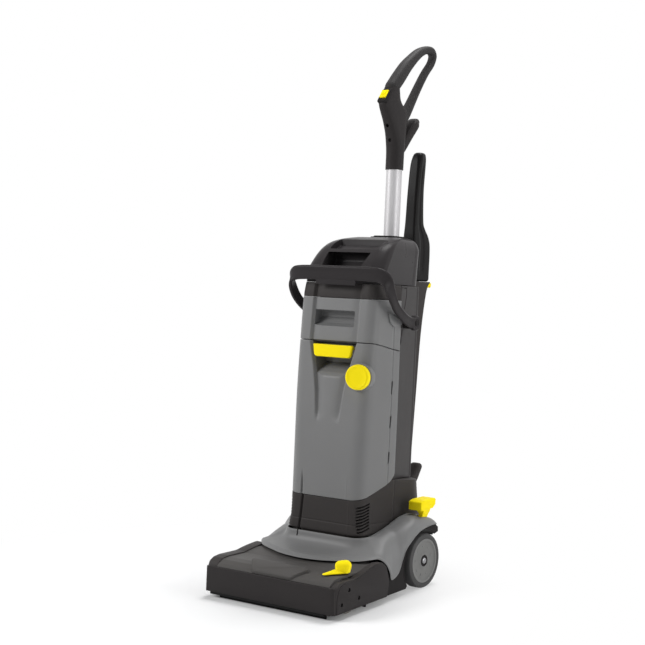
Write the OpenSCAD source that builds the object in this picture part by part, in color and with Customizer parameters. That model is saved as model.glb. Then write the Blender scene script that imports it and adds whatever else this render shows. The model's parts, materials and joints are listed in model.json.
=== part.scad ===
// Compact upright floor scrubber: brush head on two wheels, with an upright that reclines about the axle.
// Millimetres. +X is the machine's right, +Y is its back, +Z is up, and the floor is z = 0.
// Outlines are drawn with y measured from a datum ahead of the axle; machine() moves them to the middle.

/* [Machine] */
// Width over the side plates
machine_w = 335; // [330:1:345]
// Distance from the datum to the wheel axle
axle_y = 138.6; // [136:0.2:142]
// Distance from the datum to the middle of the machine's length
middle_y = 112.2; // [105:0.1:120]
// Backward lean of the upright when parked, in degrees
lean = 4.2; // [3:0.1:6]

/* [Wheels] */
// Radius of the tyres
wheel_r = 58.6; // [57:0.1:60]
// Width of the tyres
tyre_w = 27; // [24:0.5:28]
// Radius of the rims
rim_r = 47; // [42:0.5:49]
// Radius of the axle
axle_r = 8; // [6:0.5:9]

/* [Brush head] */
// Front face of the head
head_front = -195; // [-198:0.5:-192]
// Underside of the head above the floor
head_clear = 12; // [10:0.5:14]
// Radius of the brush over its bristles
brush_r = 36; // [34:0.5:38]
// Radius of the brush core
core_r = 20; // [16:0.5:24]
// Lift of the squeegees
squeegee_lift = 6; // [4:0.5:8]

/* [Upright] */
// Height of the seam between the two tanks
tank_seam_z = 521; // [515:1:525]
// Height of the upper tank's rim
tank_top_z = 613; // [608:1:618]
// Height of the collar between the upper tank and the dome
collar_h = 32; // [28:1:36]
// Radius of the handle tube
tube_r = 17.5; // [16:0.25:18]
// Distance from the datum to the handle tube's axis
tube_y = 196; // [194:0.5:198]

/* [Walls and clearances] */
// Wall of the moulded shells
wall = 3; // [2.5:0.1:3.5]
// Radial clearance of a running fit
running = 0.05; // [0.02:0.01:0.1]
// Gap between pieces that move past each other
gap = 0.4; // [0.3:0.05:0.8]

/* [Hidden] */
$fn = 48;
corner_steps = 5;
half_w = machine_w / 2;
axle_z = wheel_r;
dome_z = tank_top_z + collar_h;
charcoal = [0.16, 0.15, 0.15];
black = [0.07, 0.07, 0.07];
grey = [0.42, 0.42, 0.43];
yellow = [0.98, 0.85, 0.05];
steel = [0.70, 0.70, 0.72];

// ---------- Placing ----------

// Moves the datum so that the origin is under the middle of the machine.
module machine() translate([0, -middle_y, 0]) children();

// The upright is drawn standing straight and leans back about the axle.
module upright()
    machine() translate([0, axle_y, axle_z]) rotate([-lean, 0, 0])
        translate([0, -axle_y, -axle_z]) children();

// A side-view outline, points as [y, z], from x0 to x1.
module slab_x(x0, x1) translate([x0, 0, 0]) rotate([90, 0, 90]) linear_extrude(x1 - x0) children();

// Round bars along each axis.
module bar_x(x0, x1, r, y, z) translate([x0, y, z]) rotate([0, 90, 0]) cylinder(h = x1 - x0, r = r);
module bar_y(y0, y1, r, x, z) translate([x, y0, z]) rotate([-90, 0, 0]) cylinder(h = y1 - y0, r = r);
module bar_z(z0, z1, r, x, y) translate([x, y, z0]) cylinder(h = z1 - z0, r = r);

// A box between two corners.
module block(low, high) translate(low) cube(high - low);

module both_sides() { children(); mirror([1, 0, 0]) children(); }

// ---------- Lofted shells ----------

function mix(a, b, t) = a + (b - a) * t;
function unit(v) = v / norm(v);

// A level ring with round corners: half widths at front and back, front and back y, corner radii.
function ring(z, wf, wb, yf, yb, rf, rb) = [
    for (c = [[wf - rf, yf + rf, rf, -90], [wb - rb, yb - rb, rb, 0],
            [rb - wb, yb - rb, rb, 90], [rf - wf, yf + rf, rf, 180]])
        for (i = [0 : corner_steps])
            let (a = c[2] == 0 ? 0 : c[3] + 90 * i / corner_steps)
                [c[0] + c[2] * cos(a), c[1] + c[2] * sin(a), z]
];

// The same ring drawn inside another by a wall.
function inset(s, t) = [s[0], s[1] - t, s[2] - t, s[3] + t, s[4] - t, max(s[5] - t, 1), max(s[6] - t, 1)];
function at_height(s, z) = [z, s[1], s[2], s[3], s[4], s[5], s[6]];
function rings(sections) = [for (s = sections) ring(s[0], s[1], s[2], s[3], s[4], s[5], s[6])];

// A closed skin through rings of equally many points, each turning the same way about the path.
module loft(stack) {
    n = len(stack[0]);
    last = len(stack) - 1;
    skin = [for (k = [0 : last - 1]) for (i = [0 : n - 1]) let (j = (i + 1) % n)
        each [[k * n + i, (k + 1) * n + i, (k + 1) * n + j], [k * n + i, (k + 1) * n + j, k * n + j]]];
    polyhedron(
        points = [for (r = stack) each r],
        faces = concat([[for (i = [0 : n - 1]) i]], skin, [[for (i = [n - 1 : -1 : 0]) last * n + i]]));
}

// ---------- Head ----------

brush_y = -122;
brush_z = brush_r;
motor_y = 44;
motor_z = 43;
tray_z = 14;                    // the chassis tray, which the motor stands on
tray_t = 4;
plate_t = 16.5;
case_t = 28.5;
plate_in = half_w - plate_t;    // inner face of the right side plate
case_in = case_t - half_w;      // inner face of the left side plate, which is also the belt's case
belt_w = 8;
belt_in = 14.5;                 // from the machine's left side to the belt
belt_x = [belt_in - half_w, belt_in + belt_w - half_w];
panel_t = 4;
shell_front = head_front + panel_t;

// Deck line from the front edge to the back, as [y, z].
deck_line = [[shell_front, 66], [-184, 73], [-172, 79], [-154, 81], [-129, 80], [-98, 79], [-78, 82],
    [-59, 84], [-26, 86], [-8, 84], [2, 74], [4, 60]];
// Back edge of the side plates, which the skirts follow.
plate_back = [[-11, 74], [-3, 60], [0, 45], [-4, 24], [-9, head_clear]];
plate_line = concat([[shell_front, head_clear], [shell_front, 60], [-185, 69], [-172, 74], [-150, 74],
    [-123, 72], [-91, 74], [-61, 80], [-40, 82], [-24, 81]], plate_back);
// The belt case on the left rises a little over the deck.
case_rise = 2;
case_line = concat([[shell_front, head_clear]],
    [for (p = deck_line) if (p[0] < plate_back[0][0]) [p[0], p[1] + case_rise]], plate_back);
squeegee_front_y = -182;
squeegee_rear_y = -62;
holder_t = 11;

lever_at = [half_w - 29.5, -128];
lever_post_r = 4;
lever_post = 4.6;         // reaches through the deck, clear of the brush below
lever_z = 81.6;

module head_shell() color(charcoal) machine() difference() {
    slab_x(case_in, plate_in) polygon(concat([[shell_front, head_clear]], deck_line, [[4, head_clear]]));
    slab_x(case_in - 1, plate_in + 1) {
        translate([brush_y, brush_z]) circle(r = brush_r + 4);
        translate([brush_y - brush_r - 4, 0]) square([2 * brush_r + 8, brush_z]);
        for (y = [squeegee_front_y, squeegee_rear_y])
            translate([y - holder_t / 2 - gap, 0]) square([holder_t + 2 * gap, 52]);
        translate([-48, 0]) square([42, 76]);
    }
    bar_z(60, 90, lever_post_r + running, lever_at[0], lever_at[1]);
    hood_room();
}

module front_panel() color(charcoal) machine()
    block([-half_w, head_front, head_clear], [half_w - 12, shell_front, 67]);

// Three screws hold each side plate.
screw_spots = [[-143.5, 55.4], [-110, 32.9], [-168.7, 30.1]];
screw_r = 4;
module screw_holes(x0, x1) for (s = screw_spots) bar_x(x0, x1, screw_r, s[0], s[1]);

module side_plate_right() color(charcoal) machine() difference() {
    slab_x(plate_in, half_w) polygon(plate_line);
    screw_holes(plate_in + 9, half_w + 1);
    bar_x(plate_in - 1, plate_in + 8, bearing_r, brush_y, brush_z);
    hood_room();
}

module side_plate_left() color(charcoal) machine() difference() {
    slab_x(-half_w, case_in) polygon(case_line);
    screw_holes(-half_w - 1, -half_w + 3);
    slab_x(belt_x[0] - 3, belt_x[1] + 3) belt_room();
    bar_x(belt_x[1], case_in + 1, bearing_r, brush_y, brush_z);
    hood_room();
}

module plate_screws() color(steel) machine() for (s = screw_spots) {
    bar_x(plate_in + 9, half_w - 3, screw_r, s[0], s[1]);
    bar_x(-half_w, -half_w + 3, screw_r, s[0], s[1]);
}

// ---------- Brush drive ----------

bearing_r = 11;
shaft_r = 6;
brush_pulley_r = 16;
motor_pulley_r = 8;
belt_t = 3;
shell_end = 2;          // clearance at each end of the brush

// The outline round both pulleys, grown by t.
module belt_outline(t) hull() {
    translate([brush_y, brush_z]) circle(r = brush_pulley_r + t);
    translate([motor_y, motor_z]) circle(r = motor_pulley_r + t);
}
module belt_room() belt_outline(belt_t + 2);

module drive_belt() color(black) machine()
    slab_x(belt_x[0], belt_x[1]) difference() { belt_outline(gap + belt_t); belt_outline(gap); }

module brush_bearings() color(steel) machine() {
    difference() {
        bar_x(plate_in, plate_in + 8, bearing_r, brush_y, brush_z);
        bar_x(plate_in - 1, plate_in + 9, shaft_r + running, brush_y, brush_z);
    }
    difference() {
        bar_x(belt_x[1] + 3, case_in, bearing_r, brush_y, brush_z);
        bar_x(belt_x[1], case_in + 1, shaft_r + running, brush_y, brush_z);
    }
}

module brush_core() color(grey) machine() {
    bar_x(case_in + shell_end, plate_in - shell_end, core_r, brush_y, brush_z);
    bar_x(plate_in - shell_end, plate_in + 7, shaft_r, brush_y, brush_z);
    bar_x(belt_x[1], case_in + shell_end, shaft_r, brush_y, brush_z);
}

module bristles() color([0.75, 0.75, 0.72]) machine() difference() {
    bar_x(case_in + shell_end + 2, plate_in - shell_end - 2, brush_r, brush_y, brush_z);
    bar_x(case_in, plate_in, core_r, brush_y, brush_z);
}

module brush_pulley() color(black) machine() bar_x(belt_x[0], belt_x[1], brush_pulley_r, brush_y, brush_z);

motor_r = motor_z - tray_z - tray_t;
motor_x = [-98, 70];
motor_shaft_r = 5;
module brush_motor() color(steel) machine() difference() {
    union() {
        bar_x(motor_x[0], motor_x[1], motor_r, motor_y, motor_z);
        block([motor_x[0] + 10, motor_y - 18, tray_z + tray_t], [motor_x[1] - 10, motor_y + 18, motor_z]);
    }
    bar_x(motor_x[0] - 1, motor_x[0] + 40, motor_shaft_r + running, motor_y, motor_z);
}

module motor_pulley() color(black) machine() {
    bar_x(belt_x[0], belt_x[1], motor_pulley_r, motor_y, motor_z);
    bar_x(belt_x[1], motor_x[0] + 39, motor_shaft_r, motor_y, motor_z);
}

// ---------- Squeegees ----------

squeegee_x = [case_in + 1, plate_in - 1];
module holder(y) difference() {
    block([squeegee_x[0], y - holder_t / 2, 9], [squeegee_x[1], y + holder_t / 2, 40]);
    block([squeegee_x[0] - 1, y - 1.5, 8], [squeegee_x[1] + 1, y + 1.5, 26]);
}
module blade(y) block([squeegee_x[0], y - 1.5, 0], [squeegee_x[1], y + 1.5, 26]);

module front_holder() color(charcoal) machine() holder(squeegee_front_y);
module front_blade() color(black) machine() blade(squeegee_front_y);
module rear_holder() color(charcoal) machine() holder(squeegee_rear_y);
module rear_blade() color(black) machine() blade(squeegee_rear_y);

// The lift lever: a turning boss with a fin that rises from its tip to the boss.
lever_r = 14;
module lift_lever() color(yellow) machine() translate([lever_at[0], lever_at[1], lever_z]) {
    hull() {
        translate([4, 2, 0]) cylinder(h = 9, r = lever_r - 2);
        translate([5, 4, 15.5]) sphere(r = lever_r - 2.5, $fn = 20);
        translate([-18, -34, 0]) cylinder(h = 4, r = 5, $fn = 20);
    }
    bar_z(-lever_post, 1, lever_post_r, 0, 0);
}

// ---------- Chassis ----------

skirt_x = [half_w - 13.5, half_w - 6];
arm_x = [107, 115];
boss_r = 20;
pedal_pivot = [150, 133];
pedal_pin_r = 3;
pedal_x = [arm_x[1] + 5, skirt_x[0]];
stem_x = [pedal_x[1] - 17, pedal_x[1] - 5];
module chassis() color(black) machine() difference() {
    union() {
        block([-arm_x[1], 4, tray_z], [arm_x[1], 76, tray_z + tray_t]);
        both_sides() slab_x(arm_x[0], arm_x[1]) {
            polygon([[4, tray_z], [4, 84], [60, 92], [axle_y - 14, axle_z + 14],
                [axle_y - 8, axle_z - 18], [76, tray_z]]);
            translate([axle_y, axle_z]) circle(r = boss_r);
        }
        both_sides() block([arm_x[1] - 2, 34, 58], [arm_x[1] + 8, 46, 94]);    // hood post
        slab_x(arm_x[0], arm_x[1]) polygon([[axle_y - 10, 60], [pedal_pivot[0] - 8, pedal_pivot[1] + 6],
            [pedal_pivot[0] + 8, pedal_pivot[1] + 6], [axle_y + 12, 60]]);
        block([-arm_x[0] - 3, 14, 76], [arm_x[0] + 3, 22, 84]);                // cross bar
        block([-40, 14, 80], [40, 22, 103]);                                   // stop for the upright
    }
    bar_x(-half_w, half_w, axle_r, axle_y, axle_z);
    bar_x(-arm_x[1] - 9, -arm_x[0] + 1, motor_shaft_r + 2, motor_y, motor_z);
    bar_x(arm_x[0] - 1, arm_x[1] + 1, pedal_pin_r, pedal_pivot[0], pedal_pivot[1]);
}

module axle() color(steel) machine() bar_x(-half_w + 8, half_w - 8, axle_r, axle_y, axle_z);

module pedal_pin() color(steel) machine()
    bar_x(arm_x[0], skirt_x[0] + 4, pedal_pin_r, pedal_pivot[0], pedal_pivot[1]);

// ---------- Hood ----------

// Stations from the front middle to the back of the right fender:
// [opening edge, outer edge, how convex, crest height over the opening edge].
hood_x = half_w - 2;
hood_stations = [
    [[0, -18, 125], [0, -90, 88], 0.0, 0],
    [[45, -18, 125], [52, -84, 88.5], 0.0, 0],
    [[78, -17, 125], [97, -68, 90], 0.0, 0],
    [[94, -10, 125], [hood_x - 38.5, -54, 91], 0.02, 0],
    [[102, 2, 125.3], [hood_x - 20.5, -37, 93], 0.12, 0],
    [[104, 16, 126.6], [hood_x - 9.5, -22, 92.5], 0.4, 0],
    [[104, 30, 128.4], [hood_x - 2, -9, 81], 0.66, 1],
    [[104, 44, 130.6], [hood_x - 0.2, 2, 63], 0.8, 2],
    [[104, 57, 133], [hood_x, 9, 43], 0.86, 4],
    [[104, 71, 136], [hood_x, 46, 56], 0.88, 6],
    [[104, 86, 140], [hood_x, 49, 80], 0.88, 9],
    [[104, 101, 144], [hood_x, 64, 95], 0.88, 13],
    [[104, 116, 148], [hood_x, 84, 109], 0.89, 16],
    [[104, 131, 151], [hood_x, 108, 122], 0.9, 17],
    [[104, 147, 152], [hood_x, 132, 129], 0.9, 15],
    [[104, 164, 149], [hood_x - 0.5, 160, 131.5], 0.9, 12],
    [[106, 180, 143], [hood_x - 2.5, 183, 130.5], 0.9, 8],
    [[112, 193, 134], [hood_x - 8.5, 195, 127], 0.9, 3]
];
hood_across = 7;
hood_wall = 3;

// A curve from the opening edge to the outer edge, with its wall drawn along its own normal.
function hood_control(s) =
    mix([s[0][0], s[0][1], s[1][2]], [s[1][0], s[1][1], s[0][2] + s[3]], s[2]);
function hood_point(s, t) =
    let (c = hood_control(s)) mix(mix(s[0], c, t), mix(c, s[1], t), t);
function hood_normal(s, t) =
    let (c = hood_control(s), v = mix(c - s[0], s[1] - c, t),
         d = unit([s[1][0] - s[0][0], s[1][1] - s[0][1]]),
         q = unit([v[0] * d[0] + v[1] * d[1], v[2]]))
    [d[0] * q[1], d[1] * q[1], -q[0]];
function hood_loop(s) = concat(
    [for (i = [0 : hood_across]) hood_point(s, i / hood_across)],
    [for (i = [hood_across : -1 : 0]) let (t = i / hood_across)
        hood_point(s, t) + hood_wall * hood_normal(s, t)]);
function flip(loop) = [for (p = loop) [-p[0], p[1], p[2]]];

// A skin through one loop at each station, carried over to the left side.
module hood_loft(right) {
    left = [for (k = [len(right) - 1 : -1 : 1]) flip(right[k])];
    stack = concat(left, right);
    n = len(stack[0]);
    last = len(stack) - 1;
    skin = [for (k = [0 : last - 1]) for (i = [0 : n - 1]) let (j = (i + 1) % n)
        each [[k * n + i, (k + 1) * n + j, k * n + j], [k * n + i, (k + 1) * n + i, (k + 1) * n + j]]];
    // The end loops are thin bands, so each is closed by a strip across the wall.
    strip = [for (i = [0 : hood_across - 1]) let (a = i, b = i + 1, c = n - 2 - i, d = n - 1 - i)
        each [[a, b, c], [a, c, d]]];
    polyhedron(points = [for (r = stack) each r],
        faces = concat(skin, strip, [for (f = strip) [last * n + f[0], last * n + f[2], last * n + f[1]]]));
}

module hood_wall_only() hood_loft([for (s = hood_stations) hood_loop(s)]);

// The hood and the room above it, which the pieces below keep out of.
headroom = 60;
function hood_under(s, t) = hood_point(s, t) + (hood_wall + gap) * hood_normal(s, t);
module hood_room() {
    hood_wall_only();
    hood_loft([for (s = hood_stations) concat(
        [for (i = [0 : hood_across]) hood_under(s, i / hood_across) + [0, 0, headroom]],
        [for (i = [hood_across : -1 : 0]) hood_under(s, i / hood_across)])]);
}

module hood() color(grey) machine() difference() {
    hood_wall_only();
    block([stem_x[0] - 1, 140, 120], [stem_x[1] + 1, 184, 175]);        // slot for the pedal's stem
}

// Dark skirts fill in below the hood and line the wheel arches.
// The arch stands ahead of the wheel, so its gap is least at the back.
arch_at = [axle_y - 6, axle_z - 3];
arch_gap = 5.7;
arch_r = wheel_r + arch_gap + norm(arch_at - [axle_y, axle_z]);
liner_t = 3;
function arc_points(r, a0, a1, steps) = [for (i = [0 : steps]) let (a = mix(a0, a1, i / steps))
    arch_at + [r * cos(a), r * sin(a)]];
module skirt() {
    slab_x(skirt_x[0], skirt_x[1]) polygon(concat([[-9, head_clear], [-4, 24], [0, 45], [0, 50], [10, 54],
        [30, 66], [44, 80], [64, 103], [90, 123], [120, 134], [145, 138], [166, 137], [182, 131], [193, 123],
        [193, 113], [179, 110]], arc_points(arch_r, 52, 212, 24), [[68, head_clear]]));
    slab_x(arm_x[1] + 6, skirt_x[0])
        polygon(concat(arc_points(arch_r + liner_t, 45, 205, 24), arc_points(arch_r, 205, 45, 24)));
}
module skirt_right() color(black) machine() difference() {
    skirt();
    bar_x(arm_x[1], skirt_x[0] + 4, pedal_pin_r, pedal_pivot[0], pedal_pivot[1]);
    hood_room();
}
module skirt_left() color(black) machine() difference() {
    mirror([1, 0, 0]) skirt();
    hood_room();
}

// ---------- Pedal ----------

module foot_pedal() color(yellow) machine() difference() {
    union() {
        slab_x(pedal_x[0], pedal_x[1]) polygon([[139, 164], [139, 183], [152, 186], [194, 185], [197, 182],
            [196, 171], [186, 164]]);
        slab_x(stem_x[0], stem_x[1])
            polygon([[158, 168], [144, 136], [146, 129], [154, 129], [176, 154], [180, 168]]);
        translate([0, 178, 0]) rotate([90, 0, 0]) linear_extrude(26)
            polygon([[stem_x[0] - 6, 165], [pedal_x[1] - 1, 165], [stem_x[1], 155], [stem_x[0], 155]]);
    }
    bar_x(pedal_x[0], pedal_x[1], pedal_pin_r + running, pedal_pivot[0], pedal_pivot[1]);
}

// ---------- Wheels ----------

wheel_in = half_w - 4 - tyre_w;
module tyre() bar_ring(wheel_in, wheel_in + tyre_w, wheel_r, rim_r);
module bar_ring(x0, x1, r1, r0) difference() {
    bar_x(x0, x1, r1, axle_y, axle_z);
    bar_x(x0 - 1, x1 + 1, r0, axle_y, axle_z);
}
hub_r = 14;
cap_r = 10;
module rim() difference() {
    union() {
        bar_ring(wheel_in + 1, wheel_in + tyre_w - 2, rim_r, rim_r - 4);
        bar_ring(wheel_in + tyre_w - 8, wheel_in + tyre_w - 4, rim_r - 4, hub_r);
        bar_ring(wheel_in - 3, wheel_in + tyre_w - 3, hub_r, axle_r + running);
    }
    bar_x(half_w - 7.6, half_w, cap_r, axle_y, axle_z);
}
module hubcap() bar_x(half_w - 7.6, half_w - 5, cap_r, axle_y, axle_z);

module tyre_right() color(black) machine() tyre();
module rim_right() color(grey) machine() rim();
module hubcap_right() color(charcoal) machine() hubcap();
module tyre_left() color(black) machine() mirror([1, 0, 0]) tyre();
module rim_left() color(grey) machine() mirror([1, 0, 0]) rim();
module hubcap_left() color(charcoal) machine() mirror([1, 0, 0]) hubcap();

// ---------- Upright: base ----------

floor_z = 100;
floor_t = 4;
tank_back_y = 97;
lug_x = [84, 92];

// The seam under the tanks, seen from the side, then up the tanks' back.
seam_line = [[-60, 189], [-18, 190], [10, 197], [38, 207], [70, 219], [84, 227], [92, 236],
    [tank_back_y, 248]];
module above_seam(lift) slab_x(-150, 150) translate([0, lift])
    polygon(concat(seam_line, [[tank_back_y, 800], [-60, 800]]));

// The top of the base follows the seam, then falls towards the back under the column.
base_line = [[-60, 189], [-18, 190], [10, 197], [38, 207], [70, 219], [84, 227], [tank_back_y, 229],
    [300, 215]];
module above_base(lift) slab_x(-150, 150) translate([0, lift])
    polygon(concat(base_line, [[300, 800], [-60, 800]]));

base_sections = [
    [floor_z, 90, 96, -12, 240, 24, 50],
    [114, 91, 97, -13, 242, 24, 50],
    [120, 97, 100, -18, 246, 20, 54],
    [146, 94, 101, -17, 244, 20, 56],
    [185, 94, 101, -17, 236, 22, 60],
    [240, 95, 101, -17, 228, 24, 62]
];

module tilt_bracket() color(black) upright() difference() {
    union() {
        loft(rings([for (z = [floor_z - floor_t, floor_z]) at_height(base_sections[0], z)]));
        both_sides() slab_x(lug_x[0], lug_x[1]) {
            polygon([[96, floor_z - floor_t], [axle_y - 17, axle_z], [axle_y + 17, axle_z],
                [182, floor_z - floor_t]]);
            translate([axle_y, axle_z]) circle(r = 17);
        }
    }
    bar_x(-half_w, half_w, axle_r + running, axle_y, axle_z);
}

vent_count = 9;
module vents() for (i = [0 : vent_count - 1])
    translate([80, -4, 124 + i * 7]) rotate([14, 0, 0]) cube([30, 32, 3.2]);

module base_housing() color(charcoal) upright() difference() {
    union() {
        difference() {
            loft(rings(base_sections));
            difference() {
                loft(rings(concat([at_height(inset(base_sections[0], wall), floor_z - 1)],
                    [for (s = base_sections) inset(s, wall)])));
                above_base(-wall);
            }
        }
        bar_y(228, hook_seat_y, hook_boss_r, hook_pivot[0], hook_pivot[1]);
    }
    above_base(0);
    both_sides() vents();
    bar_y(220, 250, hook_pin_r + running, hook_pivot[0], hook_pivot[1]);
}

module pump() color(steel) upright() {
    bar_z(floor_z, floor_z + 60, 24, -45, 60);
    block([-75, 90, floor_z], [-15, 130, floor_z + 30]);
}

// ---------- Upright: column ----------

column_back = 243;
column_section = [0, 98, 58, tank_back_y, column_back, 4, 20];
function column_rings(top, t) = rings([for (z = [210, top]) inset(at_height(column_section, z), t)]);
bail_pivot = [130, 566];
bail_boss_r = 13;
module column() color(charcoal) upright() difference() {
    intersection() { loft(column_rings(dome_z, 0)); above_base(0); }
    intersection() { loft(column_rings(dome_z - wall, wall)); above_base(wall); }
    bar_z(dome_z - wall - 1, dome_z + 1, tube_r, 0, tube_y);
    both_sides() bar_x(60, 110, bail_boss_r, bail_pivot[0], bail_pivot[1]);
}

tube_z = dome_z - 75;           // the tube's foot, inside the column
tube_top_z = 965;
tube_t = 1.6;
module tube_socket() color(black) upright() difference() {
    union() {
        bar_z(tube_z - 10, dome_z - wall, tube_r + 6, 0, tube_y);
        block([-30, tube_y + 15, tube_z - 10], [30, column_back - wall, dome_z - wall]);
    }
    bar_z(tube_z, dome_z, tube_r, 0, tube_y);
}

// The bail swings on a boss on each side of the column.
bail_pin_r = 6;
bail_arm_x = [112, 120];
module bail_pins() color(black) upright() both_sides() {
    bar_x(78, bail_arm_x[1] + 1, bail_pin_r, bail_pivot[0], bail_pivot[1]);
    bar_x(78, bail_arm_x[0] - gap, bail_boss_r, bail_pivot[0], bail_pivot[1]);
}

// ---------- Upright: tanks ----------

tank_sections = [
    [180, 96, 105, -19, tank_back_y, 30, 4],
    [290, 97, 105, -18, tank_back_y, 30, 4],
    [415, 99, 105, -13, tank_back_y, 27, 4],
    [530, 100, 104, -5, tank_back_y, 24, 4],
    [tank_top_z, 100, 103, 1, tank_back_y, 22, 4]
];

// The seam between the tanks is level across the front and falls towards the back.
tank_seam = [[-60, tank_seam_z], [4, tank_seam_z], [30, tank_seam_z - 4], [70, tank_seam_z - 12],
    [tank_back_y + 1, tank_seam_z - 16]];
module below_tank_seam(lift) slab_x(-150, 150) translate([0, lift])
    polygon(concat(tank_seam, [[tank_back_y + 1, 100], [-60, 100]]));
module tank_body(t) loft(rings([for (s = tank_sections)
    t == 0 ? s : inset(at_height(s, s[0] == tank_top_z ? s[0] + 1 : s[0]), t)]));

latch_half = 52;
latch_z = [tank_seam_z - 34, tank_seam_z - 8];
latch_pivot = [3, tank_seam_z - 12];
latch_pin_r = 2;
pocket_half = latch_half + 4;
pocket_z = tank_seam_z - 69;
pocket_wall = 4;

cap_at = [77, -6, tank_seam_z - 71];       // middle of the fill cap's seat
cap_turn = 12;                // the cap faces the front corner
fill_r = 20;
module at_cap() translate(cap_at) rotate([0, 0, cap_turn]) children();

module tank_lower() color(grey) upright() difference() {
    union() {
        difference() {
            intersection() { tank_body(0); below_tank_seam(0); above_seam(0); }
            intersection() { tank_body(wall); below_tank_seam(-wall); above_seam(wall); }
        }
        end = pocket_half + pocket_wall;
        block([-end, -5, pocket_z - pocket_wall], [end, 22, tank_seam_z - 4]);
        at_cap() bar_y(-12, 20, fill_r + 6, 0, 0);
    }
    block([-pocket_half, -30, pocket_z], [pocket_half, 18, latch_z[1] + 5]);
    at_cap() bar_y(-30, 40, fill_r, 0, 0);
    latch_bar(latch_pin_r);
}

module latch_bar(r) {
    end = pocket_half + pocket_wall;
    bar_x(-end, end, r, latch_pivot[0], latch_pivot[1]);
}
module latch_pin() color(steel) upright() latch_bar(latch_pin_r);

module latch() color(yellow) upright() difference() {
    slab_x(-latch_half, latch_half) polygon([[-10, latch_z[0]], [-6, latch_z[0] - 1], [-3, latch_z[0] + 12],
        [7, latch_z[0] + 17], [7, latch_z[1]], [-8, latch_z[1]]]);
    latch_bar(latch_pin_r + running);
}

fill_cap_r = 27;
module fill_cap() color(yellow) upright() at_cap() {
    bar_y(-26, -12 - gap, fill_cap_r, 0, 0);
    bar_y(-12 - gap, 10, fill_r - running, 0, 0);
}

upper_recess = [tank_seam_z + 31, tank_top_z - 27];
module tank_upper() color(grey) upright() difference() {
    union() {
        difference() {
            tank_body(0);
            below_tank_seam(0);
            difference() { tank_body(wall); below_tank_seam(wall); }
        }
        block([-56, -0.5, upper_recess[0] - 4], [56, 18, upper_recess[1] + 4]);
    }
    block([-52, -30, upper_recess[0]], [52, 14, upper_recess[1]]);
}

module tank_cap() color(charcoal) upright() difference() {
    loft(rings([
        [tank_top_z, 99, 102, 1, tank_back_y, 22, 4],
        [tank_top_z + 12, 99, 102, 2, tank_back_y, 22, 4],
        [dome_z, 98, 100, 6, tank_back_y, 22, 4]]));
    loft(rings([
        [tank_top_z + wall, 94, 97, 6, tank_back_y - 4, 18, 2],
        [dome_z + 1, 93, 95, 11, tank_back_y - 4, 18, 2]]));
}

// ---------- Upright: dome ----------

dome_top = dome_z + 104;
dome_sections = [
    [dome_z, 100, 70, 9, 240, 22, 44],
    [dome_z + 27, 100, 68, 12, 238, 24, 44],
    [dome_z + 45, 98, 64, 20, 234, 28, 44],
    [dome_z + 63, 95, 61, 34, 230, 28, 44],
    [dome_z + 79, 90, 58, 50, 228, 28, 42],
    [dome_z + 91, 82, 54, 70, 226, 28, 40],
    [dome_z + 99, 72, 48, 98, 224, 28, 36],
    [dome_top, 58, 40, 130, 220, 26, 28]
];
dome_inner = [for (i = [0 : 5]) let (s = dome_sections[i], q = inset(s, wall))
    [s[0] + (i == 0 ? -1 : -wall), q[1], q[2], q[3], q[4], q[5], q[6]]];
recess = [[-62, 20, dome_z + 31], [60, 84, dome_z + 97]];
tray_floor = recess[0][2] + 4;

module dome() color(charcoal) upright() difference() {
    loft(rings(dome_sections));
    loft(rings(dome_inner));
    block(recess[0], recess[1]);
    bar_z(dome_top - 50, dome_top + 1, tube_r, 0, tube_y);
}

// The hand recess in the dome, with a bar across it to lift the machine by.
module dome_tray() color(black) upright() intersection() {
    loft(rings(dome_sections));
    difference() {
        block(recess[0], recess[1]);
        slab_x(recess[0][0] + 2, recess[1][0] - 2) polygon(
            [[0, tray_floor], [50, tray_floor], [82, tray_floor + 36], [82, dome_top], [0, dome_top]]);
    }
}

module tube() color(steel) upright() difference() {
    bar_z(tube_z, tube_top_z, tube_r, 0, tube_y);
    bar_z(tube_z - 1, tube_top_z + 1, tube_r - tube_t, 0, tube_y);
}

module tube_collar() color(charcoal) upright() difference() {
    loft(rings([[dome_top, 30, 30, 152, 224, 14, 14], [dome_top + 5, 28, 28, 155, 222, 14, 14]]));
    bar_z(dome_top - 1, dome_top + 6, tube_r, 0, tube_y);
}

module suction_turbine() color(steel) upright() bar_z(dome_z, dome_z + 28, 42, 0, 128);

// ---------- Upright: grip ----------

socket_z = 902;
grip_half = 14;
// Side outline of the grip's body, and of the cable hook behind it.
grip_line = [[182, socket_z + 40], [176, 950], [168, 980], [155, 1006], [140, 1028], [135, 1042],
    [141, 1056], [152, 1072], [164, 1090], [176, 1098], [188, 1084], [192, 1062], [200, 1042], [214, 1041],
    [226, 1036], [230, 1022], [224, 1000], [217, 970], [214, socket_z + 40]];
hook_line = [[214, 936], [227, 957], [241, 975], [262, 994], [280, 1008], [283, 1017], [276, 1025],
    [266, 1024], [254, 1016], [244, 1002], [232, 990], [214, 984]];
// The line along which the grip's front and back mouldings part.
parting_line = [[tube_y, socket_z - 10], [tube_y, tube_top_z + 10], [188, 1010], [172, 1040], [166, 1056],
    [170, 1078], [184, 1110]];

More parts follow.
